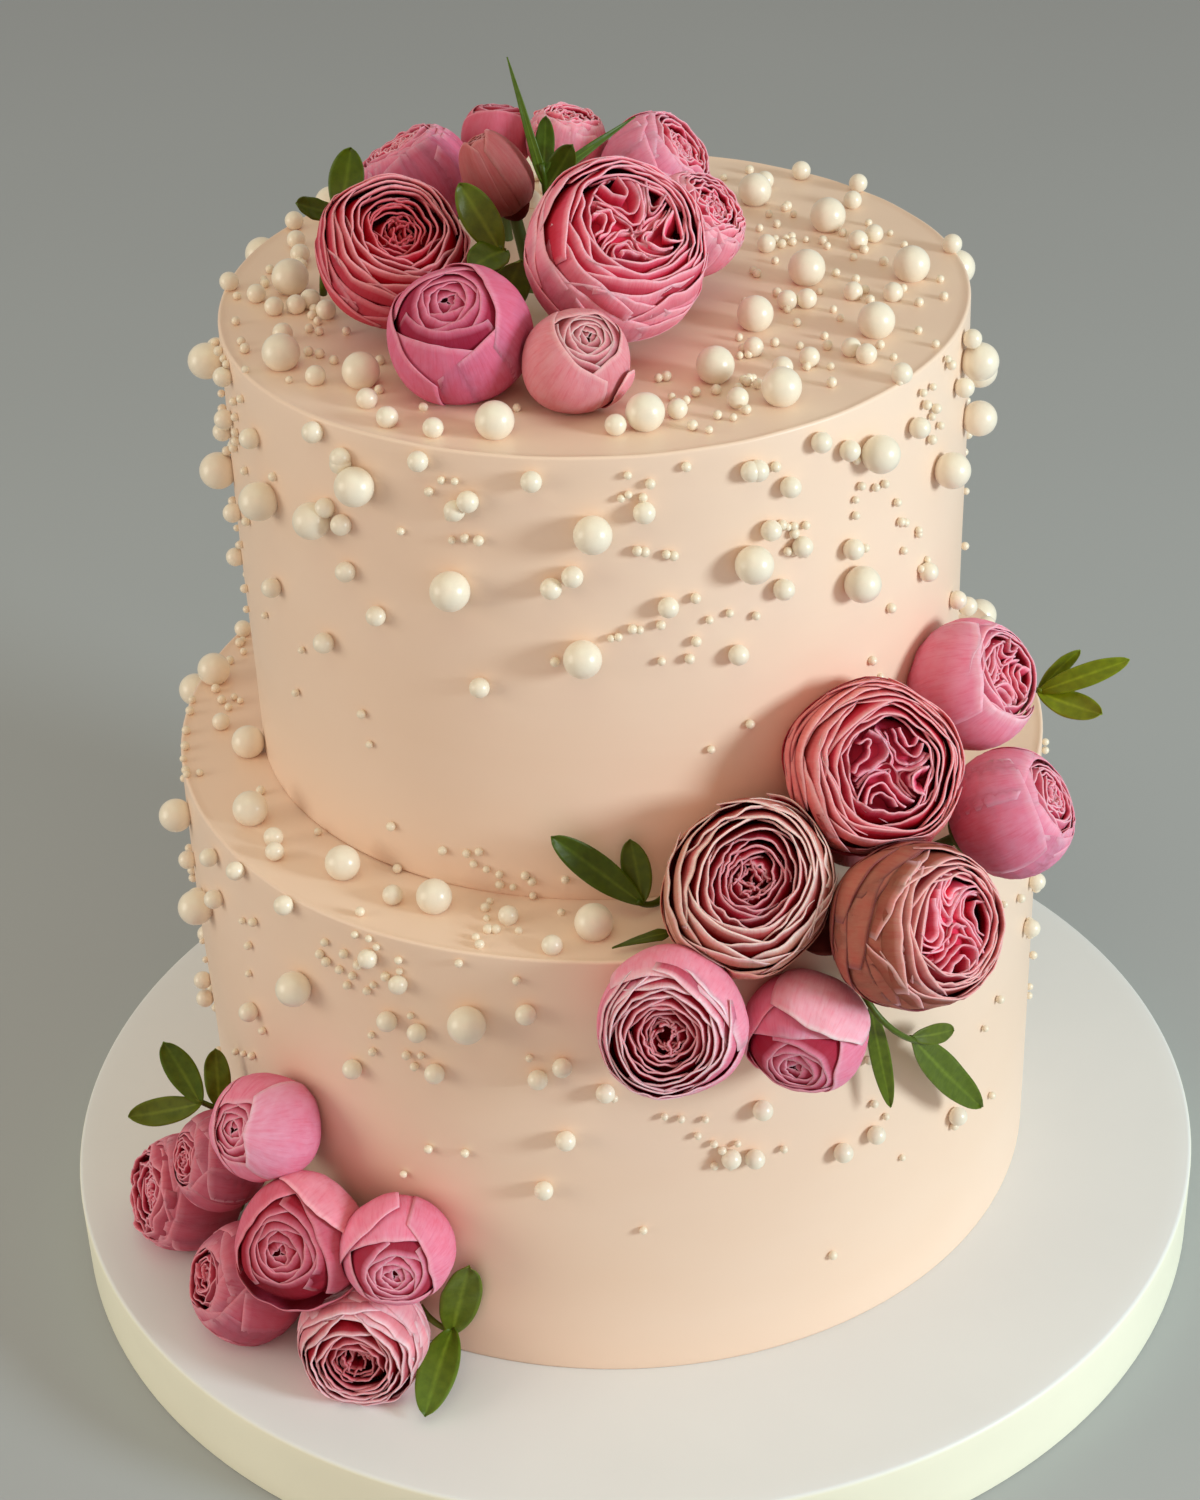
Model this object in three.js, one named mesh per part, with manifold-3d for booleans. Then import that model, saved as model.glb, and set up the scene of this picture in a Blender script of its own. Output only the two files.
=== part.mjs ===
// A two-tier birthday cake on its round board, dressed with three clusters of garden roses and small leaf sprigs.
// Millimetres, +Z up, origin at the centre of the board's underside, the decorated front facing -Y.
import * as THREE from "three";
import { mergeVertices } from "three/addons/utils/BufferGeometryUtils.js";
import Module from "manifold-3d";

const wasm = await Module();
wasm.setup();

// ---- driving dimensions ----
const BOARD_R = 155; // board radius
const BOARD_T = 23; // board thickness
const BOARD_EDGE = 1.2; // rounding of the board's edges
const LOWER_R = 111.3; // lower tier radius
const LOWER_H = 126.8; // lower tier height
const LOWER_AT = [-2.4, 4.4]; // lower tier axis
const UPPER_R = 90; // upper tier radius
const UPPER_H = 115.6; // upper tier height
const UPPER_AT = [-3.0, 7.8]; // upper tier axis
const RIM_R = 2.6; // rounding of a tier's top rim
const FOOT_R = 1.0; // rounding of a tier's bottom edge
const GAP = 0.3; // clearance kept between neighbouring solids
const LEAF_T = 1.1; // leaf thickness along its midrib
const STEM_R = 0.9; // radius of a sprig's stem
const STALK_R = 1.7; // radius of a rose's stalk
const LOWER_TOP = BOARD_T + LOWER_H;
const UPPER_TOP = LOWER_TOP + UPPER_H;

// ---- colours ----
const look = (r, g, b, roughness) =>
  new THREE.MeshStandardMaterial({
    color: new THREE.Color(r, g, b),
    roughness,
    metalness: 0,
  });
const LOOKS = {
  board: look(0.8, 0.78, 0.74, 0.45),
  icing: look(0.86, 0.65, 0.52, 0.6),
  petal: look(0.72, 0.24, 0.38, 0.7),
  petal_dusty: look(0.72, 0.45, 0.36, 0.75),
  leaf: look(0.14, 0.24, 0.06, 0.5),
};

// ---- solids ----
const radians = THREE.MathUtils.degToRad;

// A three.js geometry as a manifold solid.
function solid(geometry) {
  const g = geometry.clone();
  for (const name of Object.keys(g.attributes))
    if (name !== "position") g.deleteAttribute(name);
  const m = mergeVertices(g, 1e-3);
  return new wasm.Manifold(
    new wasm.Mesh({
      numProp: 3,
      vertProperties: m.attributes.position.array,
      triVerts: new Uint32Array(m.index.array),
    }),
  );
}

// The largest body of a manifold solid, as a three.js geometry.
function geometryOf(s) {
  const body = s
    .decompose()
    .reduce((a, b) => (b.volume() > a.volume() ? b : a));
  const mesh = body.getMesh();
  const n = mesh.numProp;
  const position = new Float32Array(mesh.numVert * 3);
  for (let i = 0; i < mesh.numVert; i++)
    position.set(mesh.vertProperties.subarray(i * n, i * n + 3), i * 3);
  const g = new THREE.BufferGeometry()
    .setAttribute("position", new THREE.BufferAttribute(position, 3))
    .setIndex(new THREE.BufferAttribute(new Uint32Array(mesh.triVerts), 1));
  g.computeVertexNormals();
  return g;
}

// A quarter-round between two directions, as lathe profile points.
function fillet(cx, cy, r, from, to, steps) {
  const points = [];
  for (let i = 0; i <= steps; i++) {
    const a = radians(from + ((to - from) * i) / steps);
    points.push(new THREE.Vector2(cx + r * Math.cos(a), cy + r * Math.sin(a)));
  }
  return points;
}

// A round drum with eased edges, standing on z = bottom; grow widens it on every side.
function drum(radius, bottom, height, at, foot, rim, segments, grow = 0) {
  const r = radius + grow;
  const low = bottom - grow;
  const high = bottom + height + grow;
  const profile = [
    new THREE.Vector2(0, low),
    ...fillet(r - foot, low + foot, foot, -90, 0, 1),
    ...fillet(r - rim, high - rim, rim, 0, 90, 2),
    new THREE.Vector2(0, high),
  ];
  return new THREE.LatheGeometry(profile, segments)
    .rotateX(Math.PI / 2)
    .translate(at[0], at[1], 0);
}

const board = (grow) =>
  drum(BOARD_R, 0, BOARD_T, [0, 0], BOARD_EDGE, BOARD_EDGE, 56, grow);
const lower = (grow) =>
  drum(LOWER_R, BOARD_T + GAP, LOWER_H - GAP, LOWER_AT, FOOT_R, RIM_R, 56, grow);
const upper = (grow) =>
  drum(UPPER_R, LOWER_TOP + GAP, UPPER_H - GAP, UPPER_AT, FOOT_R, RIM_R, 56, grow);

// ---- roses ----
// A rose head is a ball of wrapped petals. Its surface steps in at every ring of petal rims.
// Each row is [angle from the facing direction, radius share, how far the rim waves, petals in the ring].
const ROWS = {
  // open, with a hollow heart
  open: [
    [13, 0.5, 0, 4],
    [24, 0.76, 0.1, 4],
    [33, 0.78, 0.05, 5],
    [40, 0.9, 0.07, 5],
    [50, 0.88, 0.04, 5],
    [60, 0.99, 0.06, 6],
    [92, 0.99, 0, 5],
    [138, 0.94, 0, 5],
  ],
  // tight bud, with a small spiral tip
  bud: [
    [12, 0.95, 0.02, 3],
    [17, 0.9, 0.02, 3],
    [26, 0.965, 0.05, 4],
    [36, 0.935, 0.05, 4],
    [50, 1.0, 0.08, 4],
    [80, 1.0, 0, 4],
    [115, 0.99, 0, 5],
    [150, 0.9, 0, 5],
  ],
};
const HEART = { open: 0.46, bud: 0.9 };

function roseGeometry(kind, r, wobble, grow = 0) {
  const rows = ROWS[kind];
  const sides = r < 11 ? 9 : 11;
  const g = new THREE.SphereGeometry(1, sides, rows.length + 1);
  const p = g.attributes.position;
  const v = new THREE.Vector3();
  for (let i = 0; i < p.count; i++) {
    v.fromBufferAttribute(p, i);
    const row = Math.round((Math.acos(v.y) / Math.PI) * (rows.length + 1));
    if (row === 0) p.setXYZ(i, 0, HEART[kind] * r + grow, 0);
    else if (row > rows.length) p.setXYZ(i, 0, -0.82 * r - grow, 0);
    else {
      const [angle, share, wave, petals] = rows[row - 1];
      const turn = Math.atan2(v.z, v.x);
      const phase = row * 2.4 + wobble;
      const a = radians(angle) + wave * Math.cos(petals * turn + phase);
      const out =
        r * (share + 0.012 * Math.cos(2 * turn + wobble) + 0.3 * wave * Math.sin(petals * turn + phase)) + grow;
      p.setXYZ(
        i,
        out * Math.sin(a) * Math.cos(turn),
        out * Math.cos(a),
        out * Math.sin(a) * Math.sin(turn),
      );
    }
  }
  return g;
}

// name, kind, colour, centre x, y, z, radius, facing azimuth and elevation in degrees
const ROSES = [
  ["bloom_top_1", "open", "petal", -48.8, -14.5, 285.4, 17.4, -69, 51],
  ["bloom_top_2", "open", "petal", 2.3, -25.6, 288.4, 20.7, -63, 48],
  ["bloom_top_3", "bud", "petal", -32.7, -46.0, 278.6, 15.9, -106, 58],
  ["bloom_top_4", "bud", "petal", -7.1, -55.1, 275.8, 12.0, -61, 53],
  ["bloom_top_5", "open", "petal", -44.8, 31.1, 285.4, 13.8, 167, 61],
  ["bloom_top_6", "open", "petal", -25.7, 50.5, 288.4, 9.2, 71, 75],
  ["bloom_top_7", "open", "petal", -8.6, 42.7, 289.4, 10.0, 10, 76],
  ["bloom_top_8", "bud", "petal", -24.1, 9.9, 292.4, 8.9, 162, 60],
  ["bloom_top_9", "open", "petal", 12.8, 33.6, 284.9, 13.9, -11, 43],
  ["bloom_top_10", "open", "petal", 20.6, 2.8, 282.9, 12.4, -26, 45],
  ["bloom_mid_1", "open", "petal", 84.0, -46.9, 184.6, 16.0, -35, 34],
  ["bloom_mid_2", "bud", "petal", 90.6, -72.6, 164.3, 15.2, -19, 35],
  ["bloom_mid_3", "open", "petal", 57.2, -79.8, 182.8, 20.4, -76, 33],
  ["bloom_mid_4", "open", "petal_dusty", 27.7, -98.8, 163.8, 20.0, -86, 46],
  ["bloom_mid_5", "open", "petal_dusty", 64.8, -107.9, 158.5, 19.6, -48, 26],
  ["bloom_mid_6", "open", "petal", 9.1, -120.2, 142.8, 17.3, -99, 21],
  ["bloom_mid_7", "bud", "petal", 40.2, -111.6, 132.2, 14.4, -106, -6],
  ["bloom_mid_8", "bud", "petal", 52.9, -71.8, 160.0, 8.1, -87, 62],
  ["bloom_low_1", "bud", "petal", -90.9, -81.1, 83.9, 13.9, -131, 30],
  ["bloom_low_2", "open", "petal", -105.7, -66.0, 60.9, 12.8, -156, 23],
  ["bloom_low_3", "open", "petal", -119.1, -49.8, 36.5, 15.9, -160, 18],
  ["bloom_low_4", "bud", "petal", -83.0, -97.7, 61.4, 16.3, -107, 28],
  ["bloom_low_5", "open", "petal", -99.2, -84.9, 36.2, 15.6, -154, 30],
  ["bloom_low_6", "bud", "petal", -58.6, -104.4, 63.2, 13.9, -90, 10],
  ["bloom_low_7", "open", "petal", -69.0, -105.1, 35.3, 16.5, -97, 6],
];

// The direction of an azimuth and elevation.
function direction(azimuth, elevation) {
  const a = radians(azimuth);
  const e = radians(elevation);
  return new THREE.Vector3(
    Math.cos(e) * Math.cos(a),
    Math.cos(e) * Math.sin(a),
    Math.sin(e),
  );
}

function placeRose([name, kind, , x, y, z, r, azimuth, elevation], index, grow) {
  const turn = new THREE.Quaternion().setFromUnitVectors(
    new THREE.Vector3(0, 1, 0),
    direction(azimuth, elevation),
  );
  return roseGeometry(kind, r, index * 1.7, grow)
    .applyQuaternion(turn)
    .translate(x, y, z);
}

// The stalks of a cluster run in towards a point inside the cake.
const HUBS = { top: [-13, 8, 205], mid: [50, -56, 128], low: [-70, -58, 40] };

function stalkGeometry([name, , , x, y, z, r, azimuth, elevation], radius) {
  const head = new THREE.Vector3(x, y, z);
  const out = direction(azimuth, elevation);
  const hub = new THREE.Vector3(...HUBS[name.split("_")[1]]);
  const from = head.clone().addScaledVector(out, -0.55 * r);
  const via = head
    .clone()
    .addScaledVector(out, -1.15 * r)
    .lerp(hub, 0.18);
  return stemGeometry(
    [from, via, hub].map((q) => q.toArray()),
    radius,
    2,
  );
}

// ---- leaf sprigs ----
// An oval leaf from base to tip, curling back by lift at its middle, its face turned towards the given direction.
function leafGeometry(base, tip, width, facing, lift) {
  const from = new THREE.Vector3(...base);
  const along = new THREE.Vector3(...tip).sub(from);
  const length = along.length();
  along.normalize();
  const across = new THREE.Vector3(...facing).cross(along).normalize();
  const normal = new THREE.Vector3().crossVectors(along, across).normalize();
  const g = new THREE.SphereGeometry(1, 6, 5);
  const p = g.attributes.position;
  for (let i = 0; i < p.count; i++) {
    const t = (1 - p.getY(i)) / 2; // 0 at the base, 1 at the tip
    const bow = 4 * t * (1 - t);
    const v = from
      .clone()
      .addScaledVector(along, t * length)
      .addScaledVector(across, (p.getX(i) * width) / 2)
      .addScaledVector(normal, (p.getZ(i) * LEAF_T) / 2 - lift * bow);
    p.setXYZ(i, v.x, v.y, v.z);
  }
  return g;
}

// A stem along a smooth curve through points.
function stemGeometry(points, radius = STEM_R, steps = 3) {
  const outline = new THREE.Shape();
  for (let i = 0; i < 5; i++) {
    const a = (i / 5) * 2 * Math.PI;
    if (i) outline.lineTo(radius * Math.cos(a), radius * Math.sin(a));
    else outline.moveTo(radius, 0);
  }
  outline.closePath();
  return new THREE.ExtrudeGeometry(outline, {
    steps,
    bevelEnabled: false,
    extrudePath: new THREE.CatmullRomCurve3(
      points.map((q) => new THREE.Vector3(...q)),
    ),
  });
}

const FRONT = [0, -0.84, 0.54];
const RIGHT_FRONT = [0.5, -0.7, 0.45];

// Each sprig: its stems, and its leaves as base, tip, width, facing and lift.
const SPRIGS = {
  sprig_top_left: {
    stems: [[[-67.5, 6, 267.2], [-66, 6, 277.5], [-62, 10, 287.5]]],
    leaves: [
      [[-62.6, 9.6, 285.6], [-60, 14, 300.4], 7.2, FRONT, 1],
      [[-62.4, 9.6, 286], [-71.6, 2, 292], 5.6, [-0.3, -0.7, 0.6], 1],
    ],
  },
  sprig_top_front: {
    stems: [[[-24, -16, 266.6], [-24.5, -18, 278], [-23.4, -21, 289.5]]],
    leaves: [
      [[-23.6, -21, 287.6], [-32.3, -18, 303.3], 7.6, FRONT, -1],
      [[-22.8, -20.6, 289], [-29.6, -27.4, 291], 6.2, [0.2, -0.3, 0.95], -1.2],
    ],
  },
  sprig_top_back: {
    stems: [[[-12.5, 12, 266.6], [-13, 9, 282], [-14, 6, 298]]],
    leaves: [
      [[-13.8, 6.5, 295], [-12.6, 8, 308.8], 4.6, FRONT, 0.6],
      [[-13.6, 7, 290.5], [-6.6, 3.4, 303.4], 6.4, FRONT, 1.2],
      [[-13.8, 6.6, 293], [-21.1, 14, 321.1], 2.9, FRONT, -2.2],
      [[-13.4, 8, 293], [8.1, 20, 303.4], 3.2, FRONT, -1],
    ],
  },
  sprig_mid_left: {
    stems: [[[8.5, -84.4, 151.6], [5.4, -88, 152.6], [2.4, -90, 155]]],
    leaves: [
      [[3.8, -89.6, 154], [-16.7, -88.6, 173], 7.6, FRONT, 1],
      [[3.8, -89, 154], [1.4, -85.4, 169.4], 7.2, [-0.3, -0.84, 0.5], 0.6],
      [[5.6, -88.4, 152.4], [-3.6, -97.6, 151.6], 3.4, [-0.2, -0.5, 0.84], -0.8],
    ],
  },
  sprig_mid_right: {
    stems: [[[90, -26, 170], [96, -36, 176], [101.5, -43, 179.8]]],
    leaves: [
      [[100.6, -42, 179], [110.5, -40, 189], 4.2, RIGHT_FRONT, 0.8],
      [[100.6, -42.4, 179], [121.4, -46, 189.4], 5.6, FRONT, -1],
      [[100.6, -42.4, 179], [114.6, -52, 178], 7.2, [0, -0.6, 0.8], 1],
    ],
  },
  sprig_mid_low: {
    stems: [
      [[52, -91.5, 136], [55.6, -99, 130.5], [67.2, -95.4, 115.8]],
    ],
    leaves: [
      [[56, -98.6, 130], [62, -94.6, 95.4], 4.9, [0.1, -0.95, 0.1], 1],
      [[66, -95.6, 117], [77.5, -85.4, 111], 5, [0.5, -0.8, 0.4], -1],
      [[66, -95.6, 117.4], [86.3, -78, 80.6], 8.6, [0.6, -0.75, 0.2], 1.4],
    ],
  },
  sprig_low_left: {
    stems: [[[-101, -46, 58], [-107, -52, 66], [-111.4, -57.6, 74]]],
    leaves: [
      [[-110.8, -57.4, 72.8], [-118.4, -56, 92], 7.8, FRONT, 1],
      [[-110.6, -57.8, 73], [-128.4, -64, 74.4], 7.6, [-0.2, -0.6, 0.8], 1],
      [[-107, -53, 67.4], [-106.6, -50, 84.6], 7, FRONT, 0.8],
    ],
  },
  sprig_low_right: {
    stems: [[[-55.2, -97.4, 38], [-51, -100.4, 34.6], [-45.8, -101.4, 32.2]]],
    leaves: [
      [[-47.4, -101.2, 31.6], [-41.6, -102.8, 56], 10.2, [0.1, -0.98, 0.2], 0.8],
      [[-47, -101, 33.4], [-53.6, -123.4, 25.6], 10, [0, -0.3, 0.95], -1.6],
    ],
  },
};

function sprigSolid({ stems, leaves }) {
  return [
    ...stems.map((points) => stemGeometry(points)),
    ...leaves.map((leaf) => leafGeometry(...leaf)),
  ]
    .map(solid)
    .reduce((a, b) => a.add(b));
}

// ---- the cake ----
const cake = new THREE.Group();

function put(name, geometry, material) {
  const mesh = new THREE.Mesh(geometry, LOOKS[material]);
  mesh.name = name;
  cake.add(mesh);
}

put("board", board(0), "board");
put("tier_lower", lower(0), "icing");
put("tier_upper", upper(0), "icing");

// Every rose is trimmed by the tiers, the board and the roses before it, and its stalk by every other rose.
const blockers = [board(GAP), lower(GAP), upper(GAP)].map(solid);
const roses = ROSES.map((rose, index) => ({
  rose,
  at: new THREE.Vector3(rose[3], rose[4], rose[5]),
  head: solid(placeRose(rose, index, 0)),
  stalk: solid(stalkGeometry(rose, STALK_R)),
  grownHead: solid(placeRose(rose, index, GAP)),
  grownStalk: solid(stalkGeometry(rose, STALK_R + GAP)),
}));
roses.forEach((own, index) => {
  let { head, stalk } = own;
  for (const b of blockers) {
    head = head.subtract(b);
    stalk = stalk.subtract(b);
  }
  roses.forEach((other, place) => {
    if (place === index || own.at.distanceTo(other.at) > 75) return;
    stalk = stalk.subtract(other.grownHead);
    if (place > index) return;
    stalk = stalk.subtract(other.grownStalk);
    head = head.subtract(other.grownHead);
  });
  put(own.rose[0], geometryOf(head.add(stalk)), own.rose[2]);
});
const others = roses.flatMap((own) => [own.grownHead, own.grownStalk]);

for (const [name, sprig] of Object.entries(SPRIGS)) {
  let s = sprigSolid(sprig);
  for (const b of [...blockers, ...others]) s = s.subtract(b);
  put(name, geometryOf(s), "leaf");
}

export default cake;
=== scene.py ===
"""Looks of the two-tier birthday cake: icing, roses, leaf sprigs and sugar pearls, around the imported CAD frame."""
import math

import bpy
import numpy as np
from mathutils import Matrix, Vector


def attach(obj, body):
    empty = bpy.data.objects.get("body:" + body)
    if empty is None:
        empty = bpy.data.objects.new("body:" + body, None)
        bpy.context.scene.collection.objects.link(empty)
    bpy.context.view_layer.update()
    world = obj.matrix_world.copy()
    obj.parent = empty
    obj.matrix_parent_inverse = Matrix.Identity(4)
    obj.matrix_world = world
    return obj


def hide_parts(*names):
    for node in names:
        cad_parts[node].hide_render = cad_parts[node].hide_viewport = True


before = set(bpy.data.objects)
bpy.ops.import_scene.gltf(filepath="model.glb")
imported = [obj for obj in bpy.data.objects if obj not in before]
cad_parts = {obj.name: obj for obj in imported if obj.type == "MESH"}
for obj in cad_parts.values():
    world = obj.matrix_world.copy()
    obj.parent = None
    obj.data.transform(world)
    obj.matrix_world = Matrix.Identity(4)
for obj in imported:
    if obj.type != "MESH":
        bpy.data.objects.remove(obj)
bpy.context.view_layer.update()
MM = 0.001

# ---- sizes, in millimetres, as in the CAD source ----
BOARD_R, BOARD_T = 155.0, 23.0
LOWER_R, LOWER_H, LOWER_AT = 111.3, 126.8, np.array([-2.4, 4.4])
UPPER_R, UPPER_H, UPPER_AT = 90.0, 115.6, np.array([-3.0, 7.8])
LOWER_TOP = BOARD_T + LOWER_H
UPPER_TOP = LOWER_TOP + UPPER_H
HUBS = {"top": (-13, 8, 205), "mid": (50, -56, 128), "low": (-70, -58, 40)}

# name, kind, material slot, centre x, y, z, radius, facing azimuth and elevation in degrees
ROSES = [
    ("bloom_top_1", "petal", -48.8, -14.5, 285.4, 17.4, -69, 51),
    ("bloom_top_2", "petal", 2.3, -25.6, 288.4, 20.7, -63, 48),
    ("bloom_top_3", "petal", -32.7, -46.0, 278.6, 15.9, -106, 58),
    ("bloom_top_4", "petal", -7.1, -55.1, 275.8, 12.0, -61, 53),
    ("bloom_top_5", "petal", -44.8, 31.1, 285.4, 13.8, 167, 61),
    ("bloom_top_6", "petal", -25.7, 50.5, 288.4, 9.2, 71, 75),
    ("bloom_top_7", "petal", -8.6, 42.7, 289.4, 10.0, 10, 76),
    ("bloom_top_8", "petal", -24.1, 9.9, 292.4, 8.9, 162, 60),
    ("bloom_top_9", "petal", 12.8, 33.6, 284.9, 13.9, -11, 43),
    ("bloom_top_10", "petal", 20.6, 2.8, 282.9, 12.4, -26, 45),
    ("bloom_mid_1", "petal", 84.0, -46.9, 184.6, 16.0, -35, 34),
    ("bloom_mid_2", "petal", 90.6, -72.6, 164.3, 15.2, -19, 35),
    ("bloom_mid_3", "petal", 57.2, -79.8, 182.8, 20.4, -76, 33),
    ("bloom_mid_4", "petal_dusty", 27.7, -98.8, 163.8, 20.0, -86, 46),
    ("bloom_mid_5", "petal_dusty", 64.8, -107.9, 158.5, 19.6, -48, 26),
    ("bloom_mid_6", "petal", 9.1, -120.2, 142.8, 17.3, -99, 21),
    ("bloom_mid_7", "petal", 40.2, -111.6, 132.2, 14.4, -106, -6),
    ("bloom_mid_8", "petal", 52.9, -71.8, 160.0, 8.1, -87, 62),
    ("bloom_low_1", "petal", -90.9, -81.1, 83.9, 13.9, -131, 30),
    ("bloom_low_2", "petal", -105.7, -66.0, 60.9, 12.8, -156, 23),
    ("bloom_low_3", "petal", -119.1, -49.8, 36.5, 15.9, -160, 18),
    ("bloom_low_4", "petal", -83.0, -97.7, 61.4, 16.3, -107, 28),
    ("bloom_low_5", "petal", -99.2, -84.9, 36.2, 15.6, -154, 30),
    ("bloom_low_6", "petal", -58.6, -104.4, 63.2, 13.9, -90, 10),
    ("bloom_low_7", "petal", -69.0, -105.1, 35.3, 16.5, -97, 6),
]

# ---- camera ----
EYE = np.array([0.0, -632.74, 541.93])
YAW, PITCH, ROLL = math.radians(-0.5024), math.radians(32.448), math.radians(-2.157)
AHEAD = np.array([math.sin(YAW) * math.cos(PITCH), math.cos(YAW) * math.cos(PITCH), -math.sin(PITCH)])
_side = np.cross(AHEAD, [0, 0, 1])
_side /= np.linalg.norm(_side)
_up = np.cross(_side, AHEAD)
RIGHT = math.cos(ROLL) * _side + math.sin(ROLL) * _up
ABOVE = -math.sin(ROLL) * _side + math.cos(ROLL) * _up


def lin(r, g, b):
    """A 0 to 255 display colour as linear values."""
    c = np.array([r, g, b], float) / 255
    return np.where(c <= 0.04045, c / 12.92, ((c + 0.055) / 1.055) ** 2.4)


def smooth(x):
    x = np.clip(x, 0, 1)
    return x * x * (3 - 2 * x)


# ---- meshes ----
class Batch:
    """Collects closed pieces of surface and joins them in one mesh."""

    def __init__(self):
        self.v, self.q, self.t, self.tint, self.grain, self.mq, self.mt = [], [], [], [], [], [], []
        self.n = 0

    def add(self, v, q=None, t=None, tint=None, grain=None, mat=0):
        v = np.asarray(v, float).reshape(-1, 3)
        n = len(v)
        self.v.append(v)
        if q is not None and len(q):
            self.q.append(np.asarray(q, np.int64) + self.n)
            self.mq.append(np.full(len(q), mat))
        if t is not None and len(t):
            self.t.append(np.asarray(t, np.int64) + self.n)
            self.mt.append(np.full(len(t), mat))
        tint = np.ones(3) if tint is None else np.asarray(tint, float)
        if tint.shape[-1] == 3:
            tint = np.concatenate([tint, np.zeros(tint.shape[:-1] + (1,))], -1)
        self.tint.append(np.broadcast_to(tint, (n, 4)))
        self.grain.append(np.broadcast_to(np.zeros(3) if grain is None else np.asarray(grain, float), (n, 3)))
        self.n += n

    def arrays(self):
        v = np.concatenate(self.v)
        q = np.concatenate(self.q) if self.q else np.zeros((0, 4), int)
        t = np.concatenate(self.t) if self.t else np.zeros((0, 3), int)
        return v, q, t

    def build(self, name, mats, move=None):
        v, q, t = self.arrays()
        if move is not None:
            v = move(v)
        me = bpy.data.meshes.new(name)
        me.vertices.add(len(v))
        me.vertices.foreach_set("co", (v * MM).astype(np.float32).ravel())
        loops = np.concatenate([q.ravel(), t.ravel()]).astype(np.int32)
        me.loops.add(len(loops))
        me.loops.foreach_set("vertex_index", loops)
        me.polygons.add(len(q) + len(t))
        start = np.concatenate([np.arange(len(q)) * 4, len(q) * 4 + np.arange(len(t)) * 3]).astype(np.int32)
        me.polygons.foreach_set("loop_start", start)
        me.polygons.foreach_set("use_smooth", np.ones(len(start), bool))
        for m in mats:
            me.materials.append(m)
        if len(mats) > 1:
            idx = np.concatenate((self.mq or [np.zeros(0)]) + (self.mt or [np.zeros(0)])).astype(np.int32)
            me.polygons.foreach_set("material_index", idx)
        tint = me.color_attributes.new(name="tint", type="FLOAT_COLOR", domain="POINT")
        tint.data.foreach_set("color", np.concatenate(self.tint).astype(np.float32).ravel())
        grain = me.attributes.new("grain", "FLOAT_VECTOR", "POINT")
        grain.data.foreach_set("vector", np.concatenate(self.grain).astype(np.float32).ravel())
        me.update(calc_edges=True)
        ob = bpy.data.objects.new(name, me)
        bpy.context.scene.collection.objects.link(ob)
        return ob


def shell(mid, thick):
    """A closed thin body round a grid of points. Returns its points (one face, then the other) and quads."""
    du = np.gradient(mid, axis=0)
    dv = np.gradient(mid, axis=1)
    n = np.cross(du, dv)
    n /= np.maximum(np.linalg.norm(n, axis=2, keepdims=True), 1e-9)
    half = n * (thick / 2)[..., None]
    a, b = mid.shape[:2]
    v = np.concatenate([(mid + half).reshape(-1, 3), (mid - half).reshape(-1, 3)])
    o = np.arange(a * b).reshape(a, b)
    i = o + a * b
    q = [
        np.stack([o[:-1, :-1], o[1:, :-1], o[1:, 1:], o[:-1, 1:]], -1).reshape(-1, 4),
        np.stack([i[:-1, 1:], i[1:, 1:], i[1:, :-1], i[:-1, :-1]], -1).reshape(-1, 4),
        np.stack([i[:-1, 0], i[1:, 0], o[1:, 0], o[:-1, 0]], -1),
        np.stack([o[:-1, -1], o[1:, -1], i[1:, -1], i[:-1, -1]], -1),
        np.stack([o[0, :-1], o[0, 1:], i[0, 1:], i[0, :-1]], -1),
        np.stack([i[-1, :-1], i[-1, 1:], o[-1, 1:], o[-1, :-1]], -1),
    ]
    return v, np.concatenate(q)


def tube(points, radii, sides=8):
    """A closed tube along points."""
    p = np.asarray(points, float)
    r = np.broadcast_to(radii, len(p))
    tan = np.gradient(p, axis=0)
    tan /= np.linalg.norm(tan, axis=1, keepdims=True)
    ref = np.array([0.0, 0.0, 1.0]) if abs(tan[0][2]) < 0.9 else np.array([1.0, 0.0, 0.0])
    a = np.arange(sides) * 2 * np.pi / sides
    rings = []
    for k in range(len(p)):
        x = np.cross(ref, tan[k])
        x /= np.linalg.norm(x)
        y = np.cross(tan[k], x)
        ref = y if abs(y @ tan[min(k + 1, len(p) - 1)]) < 0.9 else ref
        ref = np.cross(tan[k], x) * 0 + ref
        rings.append(p[k] + r[k] * (np.cos(a)[:, None] * x + np.sin(a)[:, None] * y))
    v = np.concatenate(rings + [p[:1], p[-1:]])
    q, t = [], []
    for k in range(len(p) - 1):
        for s in range(sides):
            s2 = (s + 1) % sides
            q.append((k * sides + s, k * sides + s2, (k + 1) * sides + s2, (k + 1) * sides + s))
    first, last = len(v) - 2, len(v) - 1
    for s in range(sides):
        s2 = (s + 1) % sides
        t.append((first, s2, s))
        t.append((last, (len(p) - 1) * sides + s, (len(p) - 1) * sides + s2))
    return v, q, t


def curve(points, n):
    """n points on a smooth line through points."""
    p = np.asarray(points, float)
    d = np.concatenate([[0], np.cumsum(np.linalg.norm(np.diff(p, axis=0), axis=1))])
    d /= d[-1]
    s = np.linspace(0, 1, n)
    deg = min(len(p) - 1, 2)
    return np.stack([np.polyval(np.polyfit(d, p[:, k], deg), s) for k in range(3)], 1)


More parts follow.
